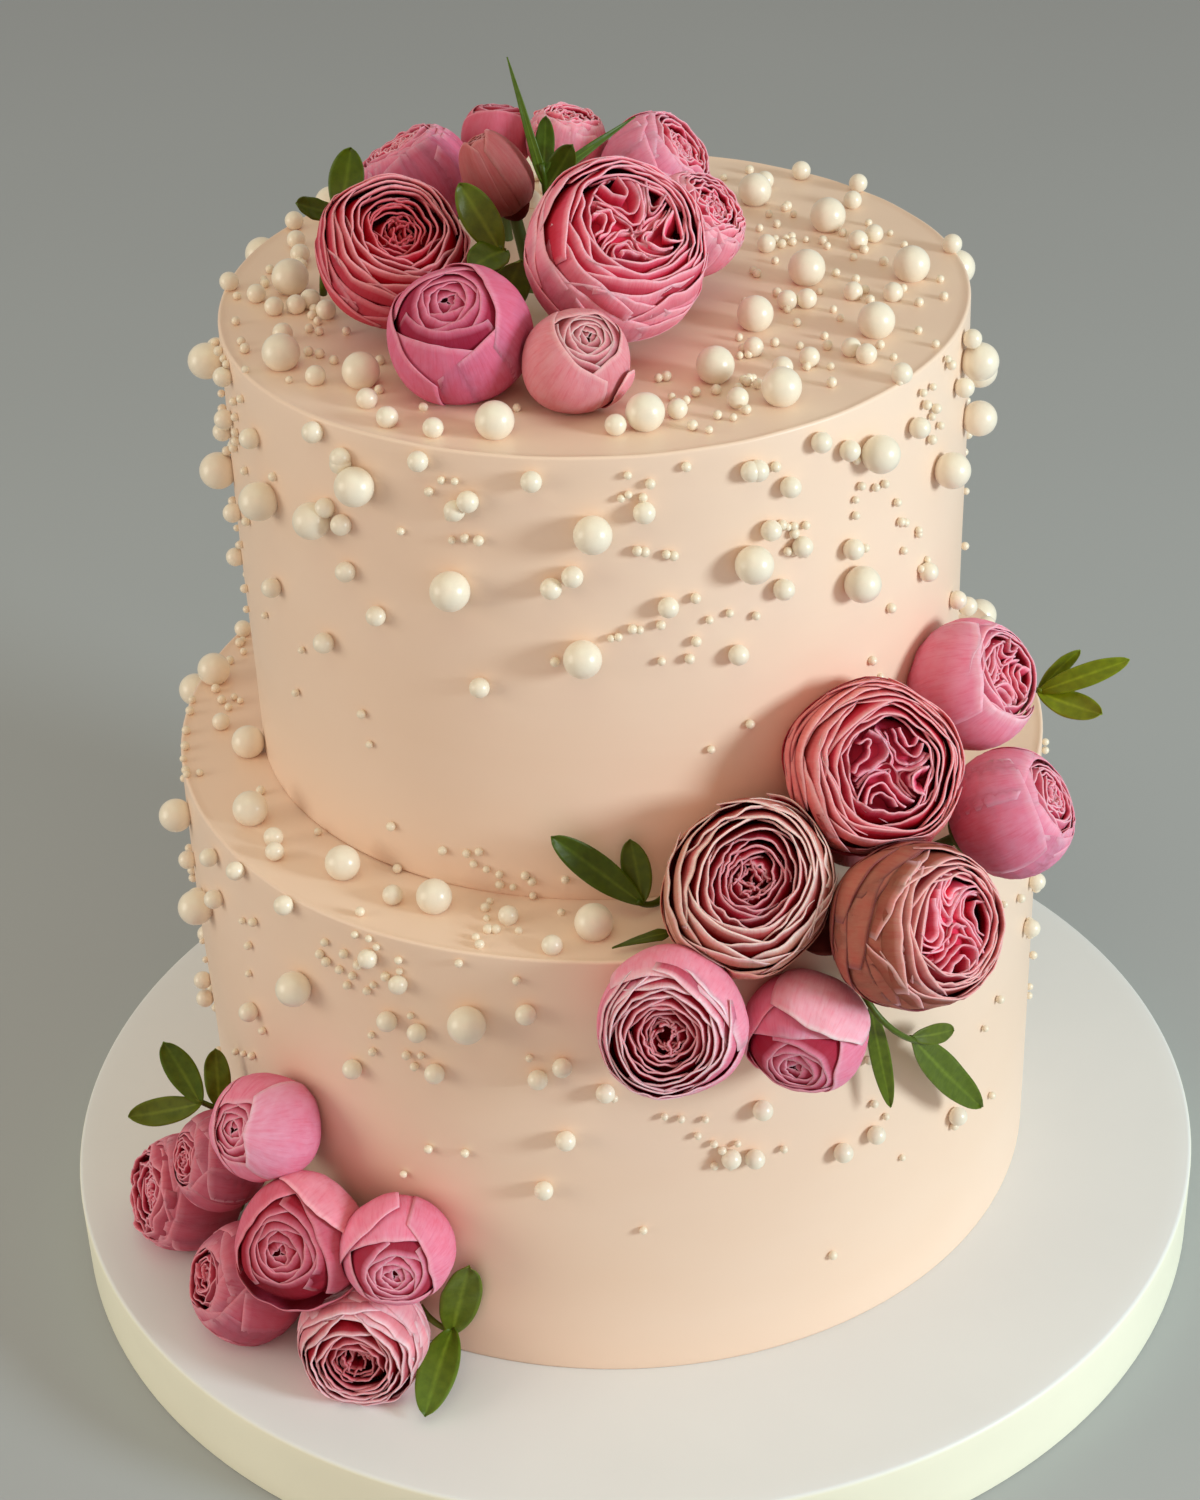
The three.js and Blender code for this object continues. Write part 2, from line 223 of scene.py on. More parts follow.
def lathe(profile, segments, ripple=None):
    """A closed body of revolution from (radius, z) points that start and end on the axis."""
    pr = np.asarray(profile, float)
    a = np.arange(segments) * 2 * np.pi / segments
    mid = pr[1:-1]
    rho = np.repeat(mid[:, 0][:, None], segments, 1)
    z = np.repeat(mid[:, 1][:, None], segments, 1)
    ang = np.repeat(a[None], len(mid), 0)
    if ripple is not None:
        dr, dz = ripple(ang, rho, z)
        rho, z = rho + dr, z + dz
    v = np.stack([rho * np.cos(ang), rho * np.sin(ang), z], -1).reshape(-1, 3)
    m = len(mid)
    k = np.arange(m * segments).reshape(m, segments)
    k2 = np.roll(k, -1, axis=1)
    q = np.stack([k[:-1], k2[:-1], k2[1:], k[1:]], -1).reshape(-1, 4)
    v = np.concatenate([v, [[0, 0, pr[0, 1]], [0, 0, pr[-1, 1]]]])
    b, tp = len(v) - 2, len(v) - 1
    t = np.concatenate(
        [
            np.stack([np.full(segments, b), k2[0], k[0]], -1),
            np.stack([np.full(segments, tp), k[-1], k2[-1]], -1),
        ]
    )
    return v, q, t


# ---- materials ----
def material(name):
    m = bpy.data.materials.new(name)
    m.use_nodes = True
    nt = m.node_tree
    nt.nodes.clear()
    out = nt.nodes.new("ShaderNodeOutputMaterial")
    p = nt.nodes.new("ShaderNodeBsdfPrincipled")
    nt.links.new(p.outputs["BSDF"], out.inputs["Surface"])
    return m, nt, p


def node(nt, kind, **values):
    n = nt.nodes.new(kind)
    for k, v in values.items():
        if k.startswith("_"):
            setattr(n, k[1:], v)
        else:
            n.inputs[k.replace("__", " ")].default_value = v
    return n


def mix(nt, fac, a, b, mode="MIX"):
    n = nt.nodes.new("ShaderNodeMix")
    n.data_type = "RGBA"
    n.blend_type = mode
    for sock, val in ((n.inputs[0], fac), (n.inputs[6], a), (n.inputs[7], b)):
        if isinstance(val, bpy.types.NodeSocket):
            nt.links.new(val, sock)
        else:
            sock.default_value = val
    return n.outputs[2]


def ramp(nt, value, stops):
    n = nt.nodes.new("ShaderNodeValToRGB")
    els = n.color_ramp.elements
    while len(els) < len(stops):
        els.new(0.5)
    for e, (at, c) in zip(els, stops):
        e.position = at
        e.color = (*c, 1) if len(c) == 3 else c
    nt.links.new(value, n.inputs[0])
    return n.outputs[0]


def bump(nt, height, strength, distance, normal=None):
    n = nt.nodes.new("ShaderNodeBump")
    n.inputs["Strength"].default_value = strength
    n.inputs["Distance"].default_value = distance
    nt.links.new(height, n.inputs["Height"])
    if normal is not None:
        nt.links.new(normal, n.inputs["Normal"])
    return n.outputs["Normal"]


def mapped(nt, vector, scale, location=(0, 0, 0)):
    n = nt.nodes.new("ShaderNodeMapping")
    n.inputs["Scale"].default_value = scale
    n.inputs["Location"].default_value = location
    nt.links.new(vector, n.inputs["Vector"])
    return n.outputs[0]


def noise(nt, vector, scale, detail=3.0, rough=0.55):
    n = nt.nodes.new("ShaderNodeTexNoise")
    n.inputs["Scale"].default_value = scale
    n.inputs["Detail"].default_value = detail
    n.inputs["Roughness"].default_value = rough
    nt.links.new(vector, n.inputs["Vector"])
    return n.outputs[0]


def icing_material():
    m, nt, p = material("icing")
    co = nt.nodes.new("ShaderNodeTexCoord").outputs["Object"]
    base = lin(*ICING)
    soft = noise(nt, mapped(nt, co, (9, 9, 22)), 1.0, 3)
    fine = noise(nt, mapped(nt, co, (40, 40, 420)), 1.0, 4)
    c = ramp(nt, soft, [(0.3, base * np.array([0.985, 0.965, 0.945])), (0.7, np.minimum(base * np.array([1.01, 1.02, 1.035]), 1))])
    nt.links.new(c, p.inputs["Base Color"])
    p.inputs["Roughness"].default_value = 0.42
    p.inputs["Specular IOR Level"].default_value = 0.5
    n1 = bump(nt, soft, 0.25, 0.0012)
    n2 = bump(nt, fine, 0.18, 0.0003, n1)
    nt.links.new(n2, p.inputs["Normal"])
    return m


def board_material():
    m, nt, p = material("board")
    co = nt.nodes.new("ShaderNodeTexCoord").outputs["Object"]
    sep = nt.nodes.new("ShaderNodeSeparateXYZ")
    nt.links.new(co, sep.inputs[0])
    top = node(nt, "ShaderNodeMapRange")
    nt.links.new(sep.outputs["Z"], top.inputs[0])
    top.inputs[1].default_value = 0.0221
    top.inputs[2].default_value = 0.0229
    cloud = noise(nt, co, 30.0, 3)
    side = ramp(nt, cloud, [(0.3, lin(*BOARD_SIDE)), (0.7, np.minimum(lin(*BOARD_SIDE) * 1.04, 1))])
    face = ramp(nt, cloud, [(0.3, lin(*BOARD_TOP)), (0.7, np.minimum(lin(*BOARD_TOP) * 1.02, 1))])
    nt.links.new(mix(nt, top.outputs[0], side, face), p.inputs["Base Color"])
    p.inputs["Roughness"].default_value = 0.42
    p.inputs["Specular IOR Level"].default_value = 0.4
    fine = noise(nt, co, 900.0, 2)
    nt.links.new(bump(nt, fine, 0.06, 0.0002), p.inputs["Normal"])
    return m


def petal_material(name, rough=0.6):
    m, nt, p = material(name)
    tint = node(nt, "ShaderNodeAttribute", _attribute_name="tint")
    grain = node(nt, "ShaderNodeAttribute", _attribute_name="grain")
    vein = noise(nt, mapped(nt, grain.outputs["Vector"], (1.5, 0.16, 1.0)), 1.0, 4, 0.6)
    blot = noise(nt, mapped(nt, grain.outputs["Vector"], (0.35, 0.25, 1.0), (7, 3, 1)), 1.0, 3)
    dark = ramp(nt, vein, [(0.28, (0.93, 0.6, 0.66)), (0.52, (1, 1, 1)), (0.75, (1.0, 1.0, 1.0))])
    patch = ramp(nt, blot, [(0.3, (0.96, 0.66, 0.72)), (0.68, (1, 1, 1))])
    c = mix(nt, 0.55, tint.outputs["Color"], dark, "MULTIPLY")
    c = mix(nt, 0.7, c, patch, "MULTIPLY")
    nt.links.new(c, p.inputs["Base Color"])
    p.inputs["Roughness"].default_value = rough
    p.inputs["Specular IOR Level"].default_value = 0.1
    p.inputs["Sheen Weight"].default_value = 0.15
    gloss = node(nt, "ShaderNodeMath", _operation="MULTIPLY_ADD")
    nt.links.new(tint.outputs["Alpha"], gloss.inputs[0])
    gloss.inputs[1].default_value = 0.25
    gloss.inputs[2].default_value = 0.03
    nt.links.new(gloss.outputs[0], p.inputs["Specular IOR Level"])
    p.inputs["Subsurface Weight"].default_value = SOFT
    p.inputs["Subsurface Radius"].default_value = (1.0, 0.28, 0.3)
    p.inputs["Subsurface Scale"].default_value = 0.0012
    share = node(nt, "ShaderNodeMath", _operation="MULTIPLY")
    nt.links.new(tint.outputs["Alpha"], share.inputs[0])
    share.inputs[1].default_value = 0.9
    nt.links.new(share.outputs[0], p.inputs["Sheen Weight"])
    p.inputs["Sheen Tint"].default_value = (1.0, 0.6, 0.7, 1.0)
    p.inputs["Sheen Roughness"].default_value = 0.5
    nt.links.new(bump(nt, vein, 0.3, 0.0004), p.inputs["Normal"])
    return m


def green_material(name, rough=0.42):
    m, nt, p = material(name)
    tint = node(nt, "ShaderNodeAttribute", _attribute_name="tint")
    grain = node(nt, "ShaderNodeAttribute", _attribute_name="grain")
    blot = noise(nt, mapped(nt, grain.outputs["Vector"], (0.5, 0.5, 1.0)), 1.0, 4)
    patch = ramp(nt, blot, [(0.3, (0.72, 0.76, 0.6)), (0.6, (1, 1, 1)), (0.8, (1.0, 1.0, 0.95))])
    nt.links.new(mix(nt, 0.9, tint.outputs["Color"], patch, "MULTIPLY"), p.inputs["Base Color"])
    p.inputs["Roughness"].default_value = rough
    p.inputs["Specular IOR Level"].default_value = 0.32
    nt.links.new(bump(nt, blot, 0.3, 0.0003), p.inputs["Normal"])
    return m


def pearl_material():
    m, nt, p = material("pearl")
    co = nt.nodes.new("ShaderNodeTexCoord").outputs["Object"]
    cloud = noise(nt, co, 260.0, 3)
    tint = node(nt, "ShaderNodeAttribute", _attribute_name="tint")
    base = ramp(nt, cloud, [(0.3, lin(*PEARL)), (0.7, np.minimum(lin(*PEARL) * 1.06, 1))])
    nt.links.new(mix(nt, 1.0, base, tint.outputs["Color"], "MULTIPLY"), p.inputs["Base Color"])
    p.inputs["Roughness"].default_value = 0.32
    p.inputs["Specular IOR Level"].default_value = 0.5
    p.inputs["Coat Weight"].default_value = 0.35
    p.inputs["Coat Roughness"].default_value = 0.25
    p.inputs["Sheen Weight"].default_value = 0.2
    nt.links.new(bump(nt, cloud, 0.12, 0.0004), p.inputs["Normal"])
    return m


# ---- looks to tune ----
SOFT = 0.3
ICING = (242, 215, 191)
BOARD_TOP = (228, 231, 230)
BOARD_SIDE = (246, 244, 220)
PEARL = (238, 228, 206)

# colours of a petal: outside at its foot and top, inside at its foot and top, rim of the inner petals, rim of the outer
# ones;
# the pale rims are partly the petals' own paler margin and partly a painted highlight, and the dark outer rims of blush
# and umber are partly a darker margin and partly a painted shadow line between tightly wrapped petals
PALETTES = {
    "pink": [(206, 100, 126), (236, 146, 172), (168, 4, 34), (224, 84, 118), (255, 202, 214), (248, 180, 198)],
    "bright": [(214, 108, 126), (246, 154, 172), (176, 0, 30), (244, 84, 120), (255, 204, 214), (255, 196, 206)],
    "crimson": [(180, 52, 70), (200, 76, 92), (150, 0, 12), (190, 18, 44), (255, 186, 192), (244, 154, 166)],
    "mauve": [(190, 84, 114), (220, 120, 150), (150, 20, 54), (204, 84, 120), (240, 164, 186), (242, 166, 188)],
    "pale": [(188, 114, 116), (232, 156, 164), (120, 16, 20), (190, 100, 98), (255, 228, 222), (253, 208, 204)],
    "blush": [(194, 102, 94), (234, 138, 134), (150, 0, 14), (230, 56, 86), (255, 202, 204), (120, 22, 30)],
    "dusty": [(178, 130, 102), (212, 160, 136), (124, 0, 6), (190, 66, 70), (255, 242, 230), (214, 174, 146)],
    "umber": [(112, 68, 48), (180, 114, 96), (112, 6, 12), (196, 76, 84), (252, 206, 198), (92, 30, 24)],
    "wine": [(208, 98, 126), (242, 150, 174), (144, 0, 22), (198, 26, 60), (255, 234, 240), (252, 204, 216)],
    "tan": [(138, 80, 74), (184, 110, 110), (76, 18, 14), (160, 80, 76), (216, 150, 144), (208, 142, 134)],
    "blossom": [(206, 98, 126), (242, 150, 176), (160, 18, 48), (222, 90, 122), (255, 202, 214), (252, 194, 208)],
    "shell": [(214, 120, 132), (248, 172, 182), (130, 0, 14), (196, 40, 66), (255, 230, 234), (254, 212, 218)],
    "rose": [(172, 80, 96), (206, 110, 130), (146, 6, 30), (204, 76, 100), (242, 168, 182), (230, 148, 162)],
}

# mouth: share of the radius inside which the rims of inner petals show; heart: where they end; skirt: how far down the
# side, in degrees, further rims are seen; outer petals: (turn about the facing direction from the camera's right, half
# width, rim angle, radius share, flare, and where given a colour scale). The scales that pale the outer petals turned
# to the right and upper right in bloom_mid_7, bloom_low_1 and bloom_low_4 are painted light where the key light falls,
# on the two flaps along with their own paler colour. A dark heart's share mixes the pale rims of its inner petals
# towards
# the inside colour: painted shade in the sunken heart. The three numbers for shade between petals: share of the petal's
# length below which this painted shade is full, share where it is gone, and its strength.
FLOWERS = {
    "bloom_top_1": dict(hollow=0.7, kind="rings", look="crimson", core="crimson", mouth=0.93, heart=0.1, n=44, frill=0.012, skirt=24),
    "bloom_top_2": dict(kind="quarters", look="bright", core="bright", mouth=0.9, heart=0.44, n=28, frill=0.014, quarters=5, skirt=34, m=15),
    "bloom_top_3": dict(kind="bud", look="mauve", tip=15, span=30,
                        outer=[(110, 70, 30, .955, 0), (250, 66, 40, .972, 0), (318, 62, 48, .986, 0), (196, 60, 52, 1.0, .015), (26, 72, 34, 1.0, 0)]),
    "bloom_top_4": dict(kind="bud", look="pale", tip=16, span=30,
                        outer=[(100, 80, 30, .955, 0), (330, 76, 34, .97, 0), (215, 88, 32, .99, 0), (-30, 20, 52, 1.02, .12)]),
    "bloom_top_5": dict(kind="rings", look="mauve", core="pink", mouth=0.66, heart=0.12, n=24, frill=0.03, skirt=16),
    "bloom_top_6": dict(kind="bud", look="rose", tip=12, span=40,
                        outer=[(20, 75, 40, .95, 0), (150, 75, 36, .97, 0), (270, 80, 40, 1.0, 0)]),
    "bloom_top_7": dict(kind="rings", look="bright", core="bright", mouth=0.7, heart=0.1, n=22, frill=0.05, skirt=24),
    "bloom_top_8": dict(kind="bud", look="tan", tip=9, span=26, tall=1.5, slim=0.88,
                        outer=[(60, 75, 20, .93, 0), (170, 70, 24, .95, 0), (282, 52, 26, .975, .02), (222, 48, 20, .99, .01), (352, 70, 24, 1.0, 0)]),
    "bloom_top_9": dict(kind="rings", look="pink", core="bright", mouth=0.68, heart=0.1, n=26, frill=0.03, skirt=20),
    "bloom_top_10": dict(kind="rings", look="bright", core="bright", mouth=0.7, heart=0.1, n=26, frill=0.05, skirt=16),
    "bloom_mid_1": dict(kind="quarters", look="blossom", core="pink", mouth=0.7, heart=0.42, n=14, frill=0.014, quarters=4,
                        outer=[(90, 70, 42, .965, 0), (262, 80, 44, .98, 0, (1.0, 1.2, 1.1)), (180, 56, 40, 1.0, .01, (1.0, 1.1, 1.05))]),
    "bloom_mid_2": dict(kind="rings", look="pink", core="pink", mouth=0.56, heart=0.1, n=22, frill=0.016, skirt=10),
    "bloom_mid_3": dict(kind="quarters", look="blush", core="pink", mouth=0.94, heart=0.42, n=32, frill=0.014, quarters=4, skirt=34, m=17, edge=0.05, band=0.2, dim=(0.62, 0.8, 0.9)),
    "bloom_mid_4": dict(hollow=0.45, kind="rings", look="dusty", core="wine", mouth=0.95, heart=0.08, n=46, frill=0.016, skirt=30, m=15, band=0.32, dim=(0.6, 0.76, 0.9)),
    "bloom_mid_5": dict(kind="quarters", look="umber", core="bright", mouth=0.88, heart=0.46, n=28, frill=0.014, quarters=4, skirt=60, m=28, half=(46, 62), edge=0.045),
    "bloom_mid_6": dict(hollow=0.45, kind="rings", look="wine", core="wine", mouth=0.86, heart=0.1, n=44, frill=0.014, band=0.24,
                        outer=[(190, 70, 62, .97, 0), (280, 75, 60, .985, 0), (65, 78, 50, 1.0, 0, (1.05, 1.2, 1.12))]),
    "bloom_mid_7": dict(kind="bud", look="blossom", tip=14, span=28,
                        outer=[(270, 76, 30, .95, 0), (100, 66, 36, .955, 0), (352, 56, 38, .975, 0), (172, 60, 50, .995, .02), (70, 52, 44, 1.04, .08, (1.12, 1.7, 1.4))]),
    "bloom_mid_8": dict(kind="bud", look="tan", tip=8, span=34, outer=[(90, 80, 40, .96, 0), (210, 80, 44, .98, 0), (330, 80, 44, 1.0, 0)]),
    "bloom_low_1": dict(kind="bud", look="blossom", tip=13, span=27,
                        outer=[(95, 76, 28, .955, 0), (255, 70, 34, .965, 0), (182, 70, 24, .985, 0, 1.0), (352, 66, 18, 1.0, 0, (1.02, 1.35, 1.3))]),
    "bloom_low_2": dict(kind="rings", look="rose", core="rose", mouth=0.5, heart=0.1, n=18, frill=0.014, skirt=20),
    "bloom_low_3": dict(kind="rings", look="rose", core="pink", mouth=0.8, heart=0.1, n=28, frill=0.045, skirt=10),
    "bloom_low_4": dict(kind="bud", look="rose", tip=17, span=34,
                        outer=[(20, 70, 38, .965, 0), (140, 70, 40, .98, 0, 1.15), (262, 66, 62, 1.02, .06, 0.9), (52, 50, 46, 1.02, .06, (1.42, 2.2, 1.95))]),
    "bloom_low_5": dict(kind="rings", look="rose", core="rose", mouth=0.46, heart=0.1, n=16, frill=0.016, skirt=30),
    "bloom_low_6": dict(kind="bud", look="blossom", tip=15, span=30,
                        outer=[(268, 66, 34, .955, 0), (96, 74, 40, .965, 0, 1.05), (200, 54, 44, .978, 0), (14, 62, 36, .992, 0), (140, 54, 52, 1.01, .05, 1.1)]),
    "bloom_low_7": dict(hollow=0.6, kind="rings", look="shell", core="shell", mouth=0.88, heart=0.16, n=34, frill=0.02, skirt=36, m=18, band=0.24),
}

RHO = np.array([0.0, 0.1, 0.2, 0.3, 0.4, 0.5, 0.6, 0.7, 0.8, 0.9, 0.94, 1.0])
RIM_Z = np.array([0.52, 0.54, 0.59, 0.65, 0.7, 0.735, 0.735, 0.695, 0.61, 0.47, 0.39, 0.2])
LEAN = np.radians([14, 20, 28, 34, 38, 42, 45, 50, 57, 65, 69, 80])


def rim_height(r, mouth):
    """Height of a petal's rim at radius r, both in shares of the head's radius: a dished heart in an open rose, a filled one in a half open one."""
    k = smooth((0.82 - mouth) / 0.36)
    full = 0.975 * np.sqrt(np.maximum(1 - r * r, 0)) - 0.02 - 0.13 * np.maximum(1 - r / mouth, 0) ** 1.6
    return np.interp(r, RHO, RIM_Z) * (1 - k) + full * k


def wave(rng, n=4, low=1, high=6):
    """A smooth random function of an angle, about -1 to 1."""
    k = rng.integers(low, high + 1, n)
    a = rng.normal(0, 1, n) / np.sqrt(n) / np.sqrt(k / low)
    ph = rng.uniform(0, 2 * np.pi, n)
    return lambda x: sum(a[i] * np.cos(k[i] * x + ph[i]) for i in range(n))


def petal(batch, rng, R, pal, phi, w, s, c, th0, th1, *, low=0.93, tuck=0.03, droop=10.0, round_=2.6, curl=0.03, flare=0.0,
          frill=0.02, body=None, nu=16, nv=6, t=0.36, tone=1.0, lip=1.0, band=0.3, rim=None, dim=None, cap=None, thin=0.45):
    """One petal of a ball-shaped head, in shares of the radius R: a closed thin body that cups round the axis up to its rim."""
    u = np.linspace(-1, 1, nu + 1)
    v = 1 - (1 - np.linspace(0, 1, nv + 1)) ** 1.5
    U, V = np.meshgrid(u, v, indexing="ij")
    jag = wave(rng, 4, 2, 7)(u * 1.6)
    edge_at = th1 + math.radians(droop) * np.abs(u) ** round_ + frill * 1.3 * jag
    th = th0 + (edge_at[:, None] - th0) * V
    ang = phi + w * U * (1 - 0.12 * (1 - V))
    own = wave(rng, 3, 1, 4)(u * 2.0)[:, None]
    shape = body(ang, th) if body is not None else 0.0
    ss = s * (1 + tuck * U) + shape + 0.01 * own
    rho = ss * np.sin(th)
    z = np.where(th < np.pi / 2, c, low) * np.cos(th) * (1 + 0.3 * shape)
    if cap is not None:  # the covered part stays under the outer petals
        most = (cap + 0.25 * smooth((V - 0.3) / 0.5)) * (1 + shape)
        pull = np.minimum(1, most / np.maximum(np.hypot(rho, z), 1e-6))
        rho, z = rho * pull, z * pull
    edge = np.clip((V - 0.7) / 0.3, 0, 1)
    ruffle = wave(rng, 5, 4, 12)(u * 1.5)[:, None]
    rho = rho + curl * edge**2 + frill * ruffle * V**2
    if flare:
        f = smooth((V - 0.35) / 0.65) ** 1.5 * (1 - 0.6 * np.abs(U) ** 2)
        rho, z = rho + flare * f, z - 0.35 * flare * f
    mid = np.stack([rho * np.cos(ang), rho * np.sin(ang), z], -1) * R
    thick = t * (1 - thin * edge**3) * (1 - 0.6 * np.abs(U) ** 6)
    v3, q = shell(mid, thick)
    olo, ohi, ilo, ihi, rimc = pal[:5]
    rimc = rimc if rim is None else rim
    # rim band in the rim colour: the pale rims are partly the petal's own paler margin and partly a painted highlight,
    # the dark outer rims partly a darker margin and partly a painted shadow line
    near = smooth((V - 1 + band) / band) ** 1.2
    side = smooth((np.abs(U) - 0.9) / 0.1) * 0.6 * smooth((V - 0.3) / 0.5)
    k_edge = np.clip(np.maximum(near, side), 0, 1)[..., None] * lip
    out = olo + (ohi - olo) * smooth(V)[..., None]
    inn = ilo + (ihi - ilo) * smooth(V**1.5)[..., None]
    # painted shade in the gaps between petals: below the given share of its length the petal is mixed towards the
    # inside foot colour
    if dim is not None:
        d = (dim[2] * (1 - smooth((V - dim[0]) / (dim[1] - dim[0]))))[..., None]
        out = out * (1 - d) + ilo * d
        inn = inn * (1 - d) + ilo * 0.8 * d
    out = out * (1 - 0.9 * k_edge) + rimc * 0.9 * k_edge
    inn = inn * (1 - 0.75 * k_edge) + rimc * 0.75 * k_edge
    tint = np.minimum(np.concatenate([out.reshape(-1, 3), inn.reshape(-1, 3)]) * np.asarray(tone), 1)
    tint = np.concatenate([tint, np.tile(k_edge.reshape(-1, 1), (2, 1))], 1)
    g = np.stack([w * U * s * R, V * (th0 - th1) * R, np.full_like(U, rng.uniform(0, 60))], -1).reshape(-1, 3)
    batch.add(v3, q, tint=tint, grain=np.concatenate([g, g + [0, 0, 3]]))


def ribbon(batch, rng, R, pal, pts, top, depth, t=0.46, lean=0.05, nv=5, tone=1.0):
    """A standing petal fold along a line of plan points, in shares of R."""
    p = np.asarray(pts, float)
    n = len(p)
    V = np.linspace(0, 1, nv + 1)
    tan = np.gradient(p, axis=0)
    nrm = np.stack([tan[:, 1], -tan[:, 0]], 1)
    nrm /= np.maximum(np.linalg.norm(nrm, axis=1, keepdims=True), 1e-6)
    s = np.linspace(0, 1, n)
    sway = wave(rng, 4, 1, 5)(s * 4) * 0.022
    off = (lean * (V[None] - 0.5) + sway[:, None] * V[None] ** 1.5)[..., None] * nrm[:, None]
    xy = p[:, None] + off
    topz = top + 0.03 * wave(rng, 4, 1, 6)(s * 4)
    z = topz[:, None] - depth * (1 - V[None])
    mid = np.concatenate([xy, z[..., None]], -1) * R
    thick = np.full(mid.shape[:2], t) * (1 - 0.25 * V[None] ** 4)
    v3, q = shell(mid, thick)
    ilo, ihi, rimc = pal[2], pal[3], pal[4]
    c = ilo + (ihi - ilo) * smooth(0.35 + V * 0.7)[None, :, None]
    # the pale top edge of each fold is partly the petal's own paler margin and partly a painted highlight
    k = smooth((V - 0.72) / 0.28)[None, :, None] * 0.8
    c = np.broadcast_to(c * (1 - k) + rimc * k, mid.shape) * tone
    c = c.reshape(-1, 3)
    g = np.stack([np.broadcast_to((s * 2.0 * R)[:, None], mid.shape[:2]), np.broadcast_to((V * depth * R)[None], mid.shape[:2]),
                  np.full(mid.shape[:2], rng.uniform(0, 60))], -1).reshape(-1, 3)
    batch.add(v3, q, tint=np.concatenate([c, c]), grain=np.concatenate([g, g]))


def ball(rx, rz, at, nu=24, nv=14):
    th = np.linspace(0, np.pi, nv + 1)[1:-1]
    prof = [(0, at - rz)] + [(rx * math.sin(x), at - rz * math.cos(x)) for x in th] + [(0, at + rz)]
    return lathe(prof, nu)


def _shift(vqt, R):
    v, q, t = vqt
    return v * R, q, t


